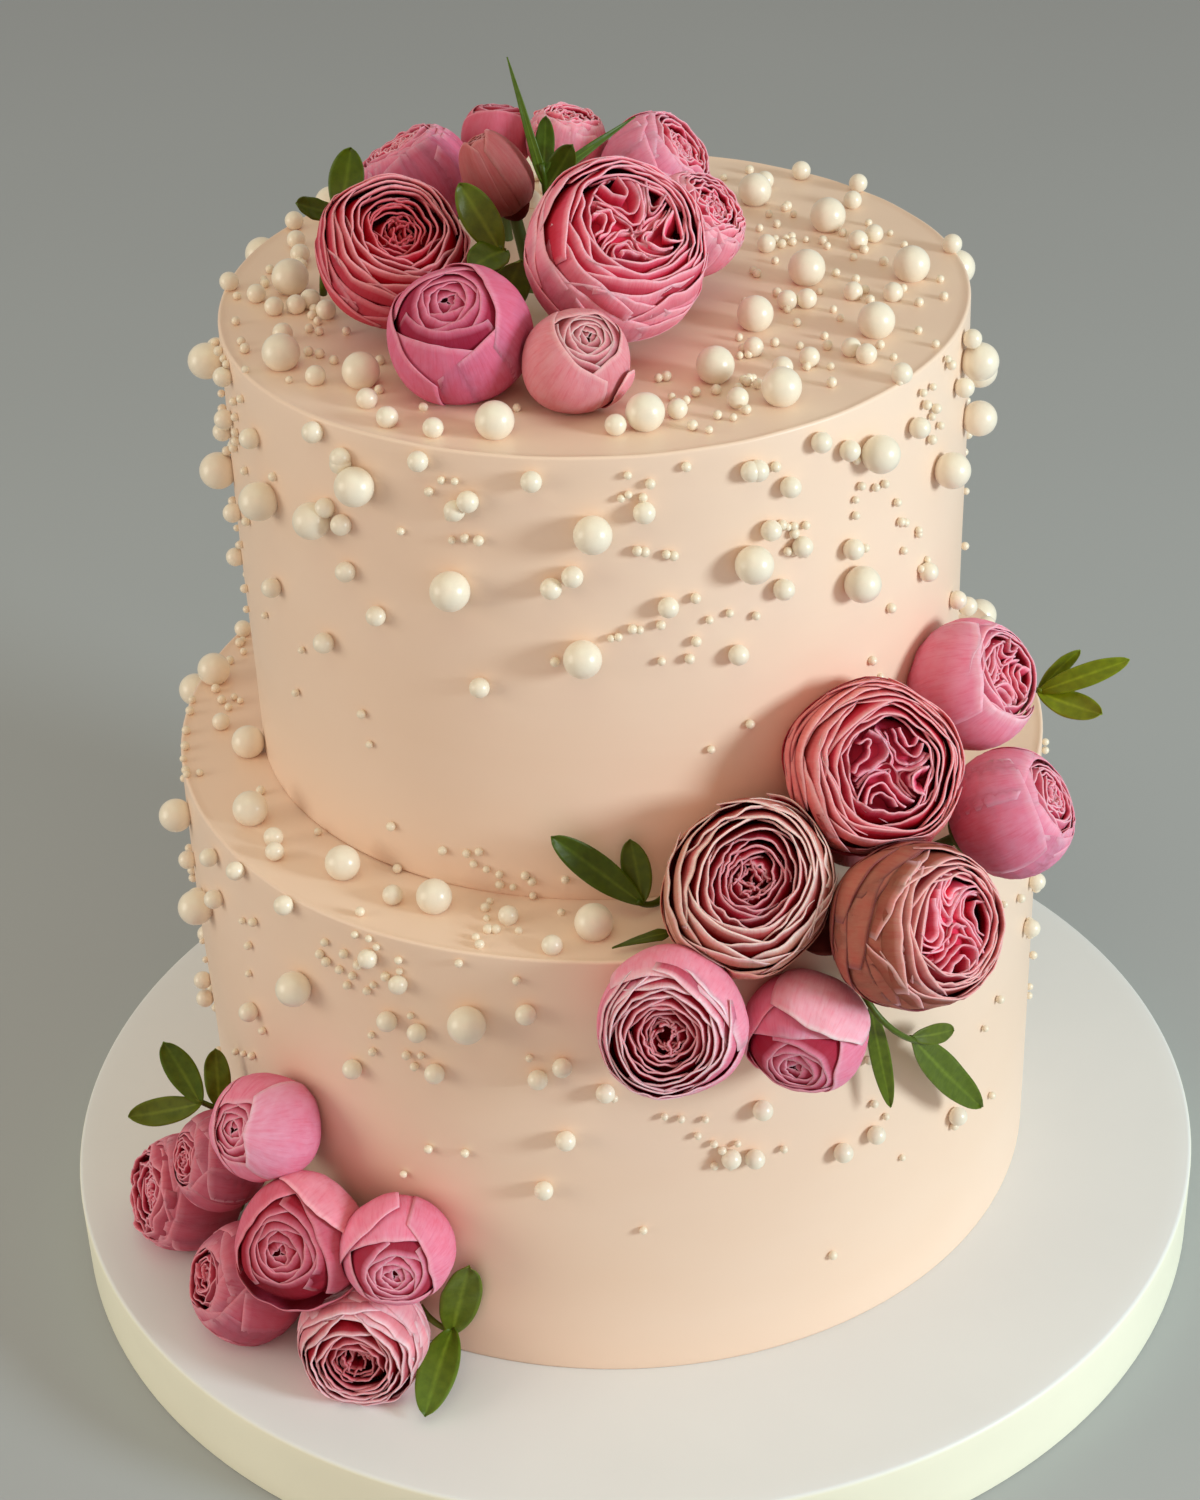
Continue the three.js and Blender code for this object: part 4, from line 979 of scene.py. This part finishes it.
# ---- sugar pearls: (angle about the tier's axis in degrees, then radius on a top or height on a wall, in millimetres) ----
PEARLS = {
    "large": {
        "top": [
            (176, 73), (-152, 81), (-137, 72), (-106, 80), (-82, 76), (-63, 59), (-58, 77), (-34, 45), (-26, 72), (0, 51),
            (0, 76), (29, 67), (51, 66),
        ],
        "up": [
            (-171, 107), (-171, 78), (-147, 88), (-125, 104), (-134, 91), (-111, 83), (-91, 99), (-93, 68), (-69, 87),
            (-48, 104), (-51, 73), (-29, 87), (-17, 106), (-14, 89),
        ],
        "ledge": [
            (169, 107), (-170, 94), (-152, 101), (-132, 97), (-116, 97), (-93, 100),
        ],
        "lo": [
            (-166, 116), (-158, 98), (-133, 102), (-108, 109),
        ],
    },
    "medium": {
        "top": [
            (-143, 79), (-130, 79), (-123, 84), (-115, 84), (-87, 78), (-76, 73), (149, 87.7), (156, 80.7), (162, 75.7),
            (-180, 80.7), (175, 88.3), (-174, 76.2), (-174, 71), (-176, 67.6), (-170, 64.2), (-162, 76.2), (51, 86.5),
            (40, 89.2), (35, 80.5), (19, 73.3), (17, 68), (25, 47), (54, 75.9), (10, 88.9), (-10, 62.1), (-10, 71.5),
            (-48, 53.9), (-36, 71.8), (-37, 76.6), (-44, 67.1), (-40, 88.8), (-51, 66.5), (-65, 73.6), (-16, 52), (-18, 47.7),
        ],
        "up": [
            (-108, 105), (-99, 111), (-84, 103), (-97, 85), (-94, 88), (-124, 71), (-108, 58), (-129, 80), (-135, 58),
            (-148, 64), (-129, 92), (-128, 109), (-81, 79), (-71, 64), (-63, 103), (-68, 109), (-52, 82), (-64, 78), (-133, 113),
            (-115, 113), (-160, 110.5), (-163, 97.5), (-167, 91.3), (-150, 101.6), (-128, 107.7), (-165, 71.1), (-132, 94.7),
            (-110, 102.4), (-69, 109.1), (-58, 111.6), (-53, 107.1), (-38, 103.8), (-66, 93.6), (-18, 112.3), (-22, 102.8),
            (-61, 87.4), (-34, 63.8), (-21, 45.5), (-8, 32.1), (-171, 54),
        ],
        "ledge": [
            (-122, 99), (-105, 97), (-98, 107), (-145, 101), (-142, 104), (-178, 101), (156, 109.2),
        ],
        "lo": [
            (-134, 125), (-144, 125), (-152, 120), (-121, 120), (-117, 115), (-145, 81), (-169, 59), (-169, 53), (-101, 113),
            (-119, 103), (-115, 102), (-113, 91), (-125, 84), (-100, 94), (-97, 98), (-97, 76), (-100, 60), (-73, 80), (-57, 60),
            (-62, 59), (-77, 67), (-166, 102), (-152, 107.5), (-92, 90.6), (-18, 91.8), (-74, 65.5), (-42, 49.1), (-20, 79.8),
            (-161, 96.9),
        ],
    },
    "small": {
        "top": [
            (165, 73.6), (168, 80.7), (172, 80.8), (174, 79.9), (179, 85.6), (-176, 69.2), (-170, 67.6), (-164, 69.4),
            (-162, 67.5), (-167, 66.7), (-171, 85.5), (-163, 85.8), (-160, 86), (-146, 83.5), (-154, 73.3), (-152, 71.6),
            (-148, 70.4), (-142, 62.3), (-160, 61.6), (-132, 72.4), (-121, 74.1), (-105, 67.6), (-153, 89.4), (164, 74.8),
            (-179, 71.2), (-173, 66.8), (43, 67.6), (43, 66.6), (39, 65.2), (37, 57.7), (29, 51.5), (28, 53.9), (28, 55.7),
            (25, 51.3), (25, 54.2), (25, 58), (22, 61.1), (19, 60.8), (7, 70.8), (11, 64.4), (14, 68.3), (-2, 82.7), (-9, 83.4),
            (-12, 77.9), (-7, 64.7), (-1, 62.7), (-6, 73.7), (9, 39), (6, 39.6), (-10, 44.1), (-21, 48.4), (-18, 58.8),
            (-22, 61.7), (-28, 53.2), (-23, 80.9), (-27, 87), (-32, 62.2), (-36, 65.5), (-44, 46.1), (-41, 54.5), (-46, 68.4),
            (-52, 53.2), (-50, 54.2), (-49, 51.3), (-43, 72.3), (-48, 78.3), (-41, 89.4), (-62, 67.2), (-58, 64.4), (-58, 68),
            (-59, 64.2), (-59, 65.5), (-57, 64.5), (-66, 65.5), (-65, 77.6), (-68, 79.4), (-70, 77.1), (-73, 67.5), (-70, 64.4),
            (-75, 64.5), (-75, 54.3), (-73, 54.3), (-75, 80.1), (-73, 82.9), (-89, 43.3), (-18, 37.4), (-39, 60.1), (-12, 66.4),
            (-31, 75.8), (-34, 81.3), (24, 67.8), (26, 76.6), (20, 78.3), (14, 78.6), (38, 52.8), (43, 60.9), (15, 45.8),
            (-8, 54.1), (3, 58.4),
        ],
        "up": [
            (-172, 110.7), (-165, 113.5), (-162, 113.5), (-160, 113.5), (-172, 107.1), (-158, 105.4), (-158, 101.4),
            (-159, 96.8), (-159, 94.5), (-161, 91.3), (-145, 94.8), (-156, 88.9), (-158, 74), (-114, 105.5), (-112, 108.7),
            (-110, 108.9), (-111, 100.4), (-119, 94.1), (-111, 94.3), (-109, 95.3), (-107, 95.2), (-86, 111.6), (-83, 109.3),
            (-87, 106.2), (-86, 107), (-84, 106.1), (-78, 112.4), (-65, 108.4), (-57, 112.3), (-57, 109.5), (-51, 103.2),
            (-36, 110.9), (-33, 110.4), (-35, 107.3), (-32, 104.4), (-33, 102.9), (-30, 98.7), (-33, 97.2), (-28, 114),
            (-27, 111.9), (-50, 96.3), (-47, 94.2), (-45, 93.9), (-51, 93.4), (-51, 89.5), (-42, 87.3), (-41, 81.7), (-36, 75),
            (-63, 92.7), (-62, 90.8), (-60, 91.8), (-40, 73.5), (-63, 86.7), (-61, 85.7), (-85, 93.3), (-81, 91.7), (-62, 86),
            (-60, 84.5), (-64, 93.8), (-62, 92.5), (-49, 80.1), (-36, 76), (-40, 80.8), (-84, 92.9), (-80, 91.2), (-77, 79.9),
            (-85, 73.4), (-88, 71.9), (-82, 74.2), (-75, 73.7), (-72, 74.5), (-68, 72.4), (-77, 68.9), (-78, 64.7), (-82, 64.8),
            (-47, 49.2), (-45, 43.4), (-69, 44.4), (-75, 39.7), (-43, 60.5), (-35, 65), (-33, 66), (-31, 61.1), (-97, 65.8),
            (-89, 71.6), (-86, 73.8), (-154, 51.5), (-142, 50.9), (-145, 37), (-129, 41.8), (-128, 33.9), (-172, 97.5),
            (-166, 93.5), (-171, 83), (-172, 80.1), (-171, 69.4), (-166, 61.4), (-172, 61.1), (-171, 57.2), (-171, 52.7),
            (-166, 49.2), (-168, 41.6), (-116, 10.2), (-125, 12.7), (-112, 10.9), (-110, 12), (-111, 8.2), (-109, 7.3),
            (-107, 3.6), (-105, 3.2), (-103, 7), (-102, 5.5), (-102, 1.4), (-97, 6.6), (-107, 6.4), (-154, 108.7), (-172, 93.5),
        ],
        "ledge": [
            (158, 107.3), (159, 107.3), (161, 104.4), (175, 102.5), (174, 99.5), (175, 97.5), (-166, 107.4), (-158, 94.8),
            (-143, 90.5), (-126, 88.6), (-109, 91.1), (-108, 97.7), (-107, 102), (-106, 101.6), (-103, 100.9), (-98, 92.5),
            (-107, 108.1), (-108, 105.4), (175, 110.4), (178, 110), (-173, 110.1), (-170, 110.8), (-167, 110.7), (-166, 110.7),
            (-124, 107.2), (-177, 110), (164, 106), (-105, 98.3), (-109, 94), (172, 105.3), (177, 100.1),
        ],
        "lo": [
            (-145, 108.5), (-142, 111.5), (-144, 102.2), (-123, 124.8), (-121, 125.1), (-120, 123.3), (-117, 121.4),
            (-117, 118.2), (-119, 115.5), (-121, 111.6), (-122, 109.2), (-129, 114.6), (-125, 117.9), (-128, 113.2),
            (-126, 112.4), (-128, 118.8), (-145, 92.4), (-143, 76.9), (-102, 121.7), (-116, 105.7), (-122, 95.9), (-122, 90.9),
            (-117, 93.4), (-115, 94.4), (-116, 90.6), (-101, 99.3), (-91, 88.2), (-115, 65.8), (-110, 67.3), (-88, 46.9),
            (-153, 57.5), (-150, 60.8), (-147, 64), (-109, 124.5), (-170, 100.2), (-170, 95.4), (-170, 90.8), (-170, 93.2),
            (-85, 81.8), (-83, 80.6), (-80, 79.4), (-81, 74.8), (-79, 71.6), (-76, 70.3), (-78, 69.2), (-79, 64.8), (-77, 64.1),
            (-77, 66.5), (-70, 65.3), (-52, 46.8), (-63, 25.9), (-57, 69.1), (-55, 63.1), (-32, 42), (-14, 84.1), (-17, 73.1),
            (-10, 56.8), (-31, 101.3), (-19, 80.4), (-25, 95.6), (-10, 124.2), (-10, 121.7), (-122, 30.8), (-119, 55),
            (-42, 45.5), (-31, 71.8), (-35, 67.7), (-58, 83.6), (-169, 71.7), (-166, 69.8), (-125, 108.6), (-123, 116.1),
            (-124, 112.2),
        ],
    },
}
SIZES = {"large": 4.4, "medium": 2.4, "small": 1.05}


def icosphere(level):
    g = (1 + 5**0.5) / 2
    v = [(-1, g, 0), (1, g, 0), (-1, -g, 0), (1, -g, 0), (0, -1, g), (0, 1, g), (0, -1, -g), (0, 1, -g), (g, 0, -1), (g, 0, 1), (-g, 0, -1), (-g, 0, 1)]
    v = [np.array(p) / np.linalg.norm(p) for p in v]
    f = [(0, 11, 5), (0, 5, 1), (0, 1, 7), (0, 7, 10), (0, 10, 11), (1, 5, 9), (5, 11, 4), (11, 10, 2), (10, 7, 6), (7, 1, 8),
         (3, 9, 4), (3, 4, 2), (3, 2, 6), (3, 6, 8), (3, 8, 9), (4, 9, 5), (2, 4, 11), (6, 2, 10), (8, 6, 7), (9, 8, 1)]
    for _ in range(level):
        seen, new = {}, []

        def half(a, b):
            k = (min(a, b), max(a, b))
            if k not in seen:
                p = v[a] + v[b]
                v.append(p / np.linalg.norm(p))
                seen[k] = len(v) - 1
            return seen[k]

        for a, b, c in f:
            ab, bc, ca = half(a, b), half(b, c), half(c, a)
            new += [(a, ab, ca), (b, bc, ab), (c, ca, bc), (ab, bc, ca)]
        f = new
    return np.array(v), np.array(f)


def pearl_spot(place, a, s, r):
    """Centre of a pearl of radius r pressed a little into the icing."""
    up = 0.8 * r
    t = math.radians(a)
    d = np.array([math.cos(t), math.sin(t)])
    if place == "top":
        return np.array([*(UPPER_AT + d * s), UPPER_TOP + up])
    if place == "ledge":
        return np.array([*(LOWER_AT + d * s), LOWER_TOP + up])
    if place == "up":
        return np.array([*(UPPER_AT + d * (UPPER_R + up)), LOWER_TOP + s])
    return np.array([*(LOWER_AT + d * (LOWER_R + up)), BOARD_T + s])


def clear_of_roses(p, r):
    return all(np.linalg.norm(p - c) > rr + r * 0.6 for c, rr in CENTRES.values())


def make_pearls(mat):
    rng = np.random.default_rng(77)
    spots = {k: [] for k in SIZES}
    for size in ("large", "medium", "small"):
        for place, rows in PEARLS[size].items():
            for a, s in rows:
                r = SIZES[size] * (rng.uniform(0.96, 1.04) if size != "small" else rng.uniform(0.82, 1.2))
                spots[size].append((pearl_spot(place, a, s, r), r))
    # the unseen back carries pearls in the same way: thick on the rims, thinner further down
    def free(p, r, gap=0.4):
        if not clear_of_roses(p, r):
            return False
        return all(np.linalg.norm(p - o) > r + q + gap for l in spots.values() for o, q in l)

    for size, counts in (("large", {"top": 5, "up": 9, "ledge": 6, "lo": 5}), ("medium", {"top": 14, "up": 26, "ledge": 8, "lo": 20}), ("small", {"top": 34, "up": 80, "ledge": 26, "lo": 60})):
        for place, n in counts.items():
            done = tries = 0
            while done < n and tries < 4000:
                tries += 1
                if place == "top":
                    a, s = rng.uniform(50, 160), UPPER_R * math.sqrt(rng.uniform(0.35, 0.93))
                elif place == "ledge":
                    a, s = rng.uniform(5, 158), rng.uniform(UPPER_R + 6, LOWER_R - 2.5)
                elif place == "up":
                    a, s = rng.uniform(-5, 184), UPPER_H * (1 - rng.beta(1.1, 2.2)) - 4
                    if s < 6:
                        continue
                else:
                    a, s = rng.uniform(-8, 186), LOWER_H * (1 - rng.beta(1.1, 2.2)) - 5
                    if s < 12:
                        continue
                r = SIZES[size] * (rng.uniform(0.96, 1.04) if size != "small" else rng.uniform(0.82, 1.2))
                p = pearl_spot(place, a, s, r)
                if free(p, r):
                    spots[size].append((p, r))
                    done += 1
    for size, level in (("large", 3), ("medium", 2), ("small", 1)):
        v0, f0 = icosphere(level)
        b = Batch()
        for p, r in spots[size]:
            # a faint warm tint on the small pearls: painted reflection of the peach icing
            b.add(v0 * r + p, None, f0, tint=(1, 0.97, 0.93) if size == "small" else None)
        ob = b.build("pearls_" + size, [mat])
        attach(ob, "root")


# ---- stage ----
def make_stage():
    me = bpy.data.meshes.new("floor")
    me.from_pydata([(-6, -6, 0), (6, -6, 0), (6, 6, 0), (-6, 6, 0)], [], [(0, 1, 2, 3)])
    floor = bpy.data.objects.new("floor", me)
    bpy.context.scene.collection.objects.link(floor)
    m, nt, p = material("floor")
    co = nt.nodes.new("ShaderNodeTexCoord").outputs["Object"]
    c = ramp(nt, noise(nt, co, 3.0, 2), [(0.3, lin(*FLOOR)), (0.7, lin(*FLOOR) * 1.03)])
    nt.links.new(c, p.inputs["Base Color"])
    p.inputs["Roughness"].default_value = 0.8
    p.inputs["Specular IOR Level"].default_value = 0.15
    me.materials.append(m)


def area(name, az, el, dist, size, power, colour, target=(0, 0, 0.15)):
    d = facing(az, el)
    lamp = bpy.data.lights.new(name, "AREA")
    lamp.shape = "DISK"
    lamp.size = size
    lamp.energy = power
    lamp.color = colour
    ob = bpy.data.objects.new(name, lamp)
    bpy.context.scene.collection.objects.link(ob)
    ob.location = Vector(target) + Vector(d) * dist
    ob.rotation_mode = "QUATERNION"
    ob.rotation_quaternion = (-Vector(d)).to_track_quat("-Z", "Y")


def make_light():
    area("key", -30, 17, 1.6, 0.42, KEY, KEY_COLOUR)
    area("fill", -165, 14, 1.6, 1.0, FILL, FILL_COLOUR)
    area("over", -90, 75, 1.6, 1.4, OVER, OVER_COLOUR)
    area("front", -95, 35, 1.6, 1.0, FRONT_LIGHT, FRONT_COLOUR)
    world = bpy.data.worlds.new("world")
    world.use_nodes = True
    bg = world.node_tree.nodes["Background"]
    bg.inputs[0].default_value = (*AMBIENT_COLOUR, 1)
    bg.inputs[1].default_value = AMBIENT
    bpy.context.scene.world = world


FLOOR = (170, 175, 176)
KEY, KEY_COLOUR = 18.6, (0.79, 0.94, 1.0)
FILL, FILL_COLOUR = 7.9, (1.0, 0.96, 0.83)
OVER, OVER_COLOUR = 3.7, (0.8, 1.0, 0.62)
FRONT_LIGHT, FRONT_COLOUR = 2.2, (1.0, 0.3, 0.2)
AMBIENT, AMBIENT_COLOUR = 0.44, (1.0, 0.91, 0.84)


def make_camera():
    cam = bpy.data.cameras.new("camera")
    cam.sensor_width = 36
    cam.lens = 69.05
    cam.clip_start, cam.clip_end = 0.02, 30
    ob = bpy.data.objects.new("camera", cam)
    bpy.context.scene.collection.objects.link(ob)
    back = -AHEAD
    ob.matrix_world = Matrix([
        [RIGHT[0], ABOVE[0], back[0], EYE[0] * MM],
        [RIGHT[1], ABOVE[1], back[1], EYE[1] * MM],
        [RIGHT[2], ABOVE[2], back[2], EYE[2] * MM],
        [0, 0, 0, 1],
    ])
    bpy.context.scene.camera = ob
    bpy.context.scene.view_settings.view_transform = "Standard"


def main():
    make_stage()
    make_light()
    make_camera()
    icing = icing_material()
    make_board(board_material())
    make_tier("icing_lower", "tier_lower", LOWER_AT, LOWER_R, BOARD_T, LOWER_H, icing, 5)
    make_tier("icing_upper", "tier_upper", UPPER_AT, UPPER_R, LOWER_TOP, UPPER_H, icing, 6)
    mats = {"petal": petal_material("petal"), "petal_dusty": petal_material("petal_dusty", 0.68), "calyx": green_material("calyx", 0.55)}
    make_roses(mats)
    make_sprigs(green_material("leaf"))
    make_pearls(pearl_material())


main()
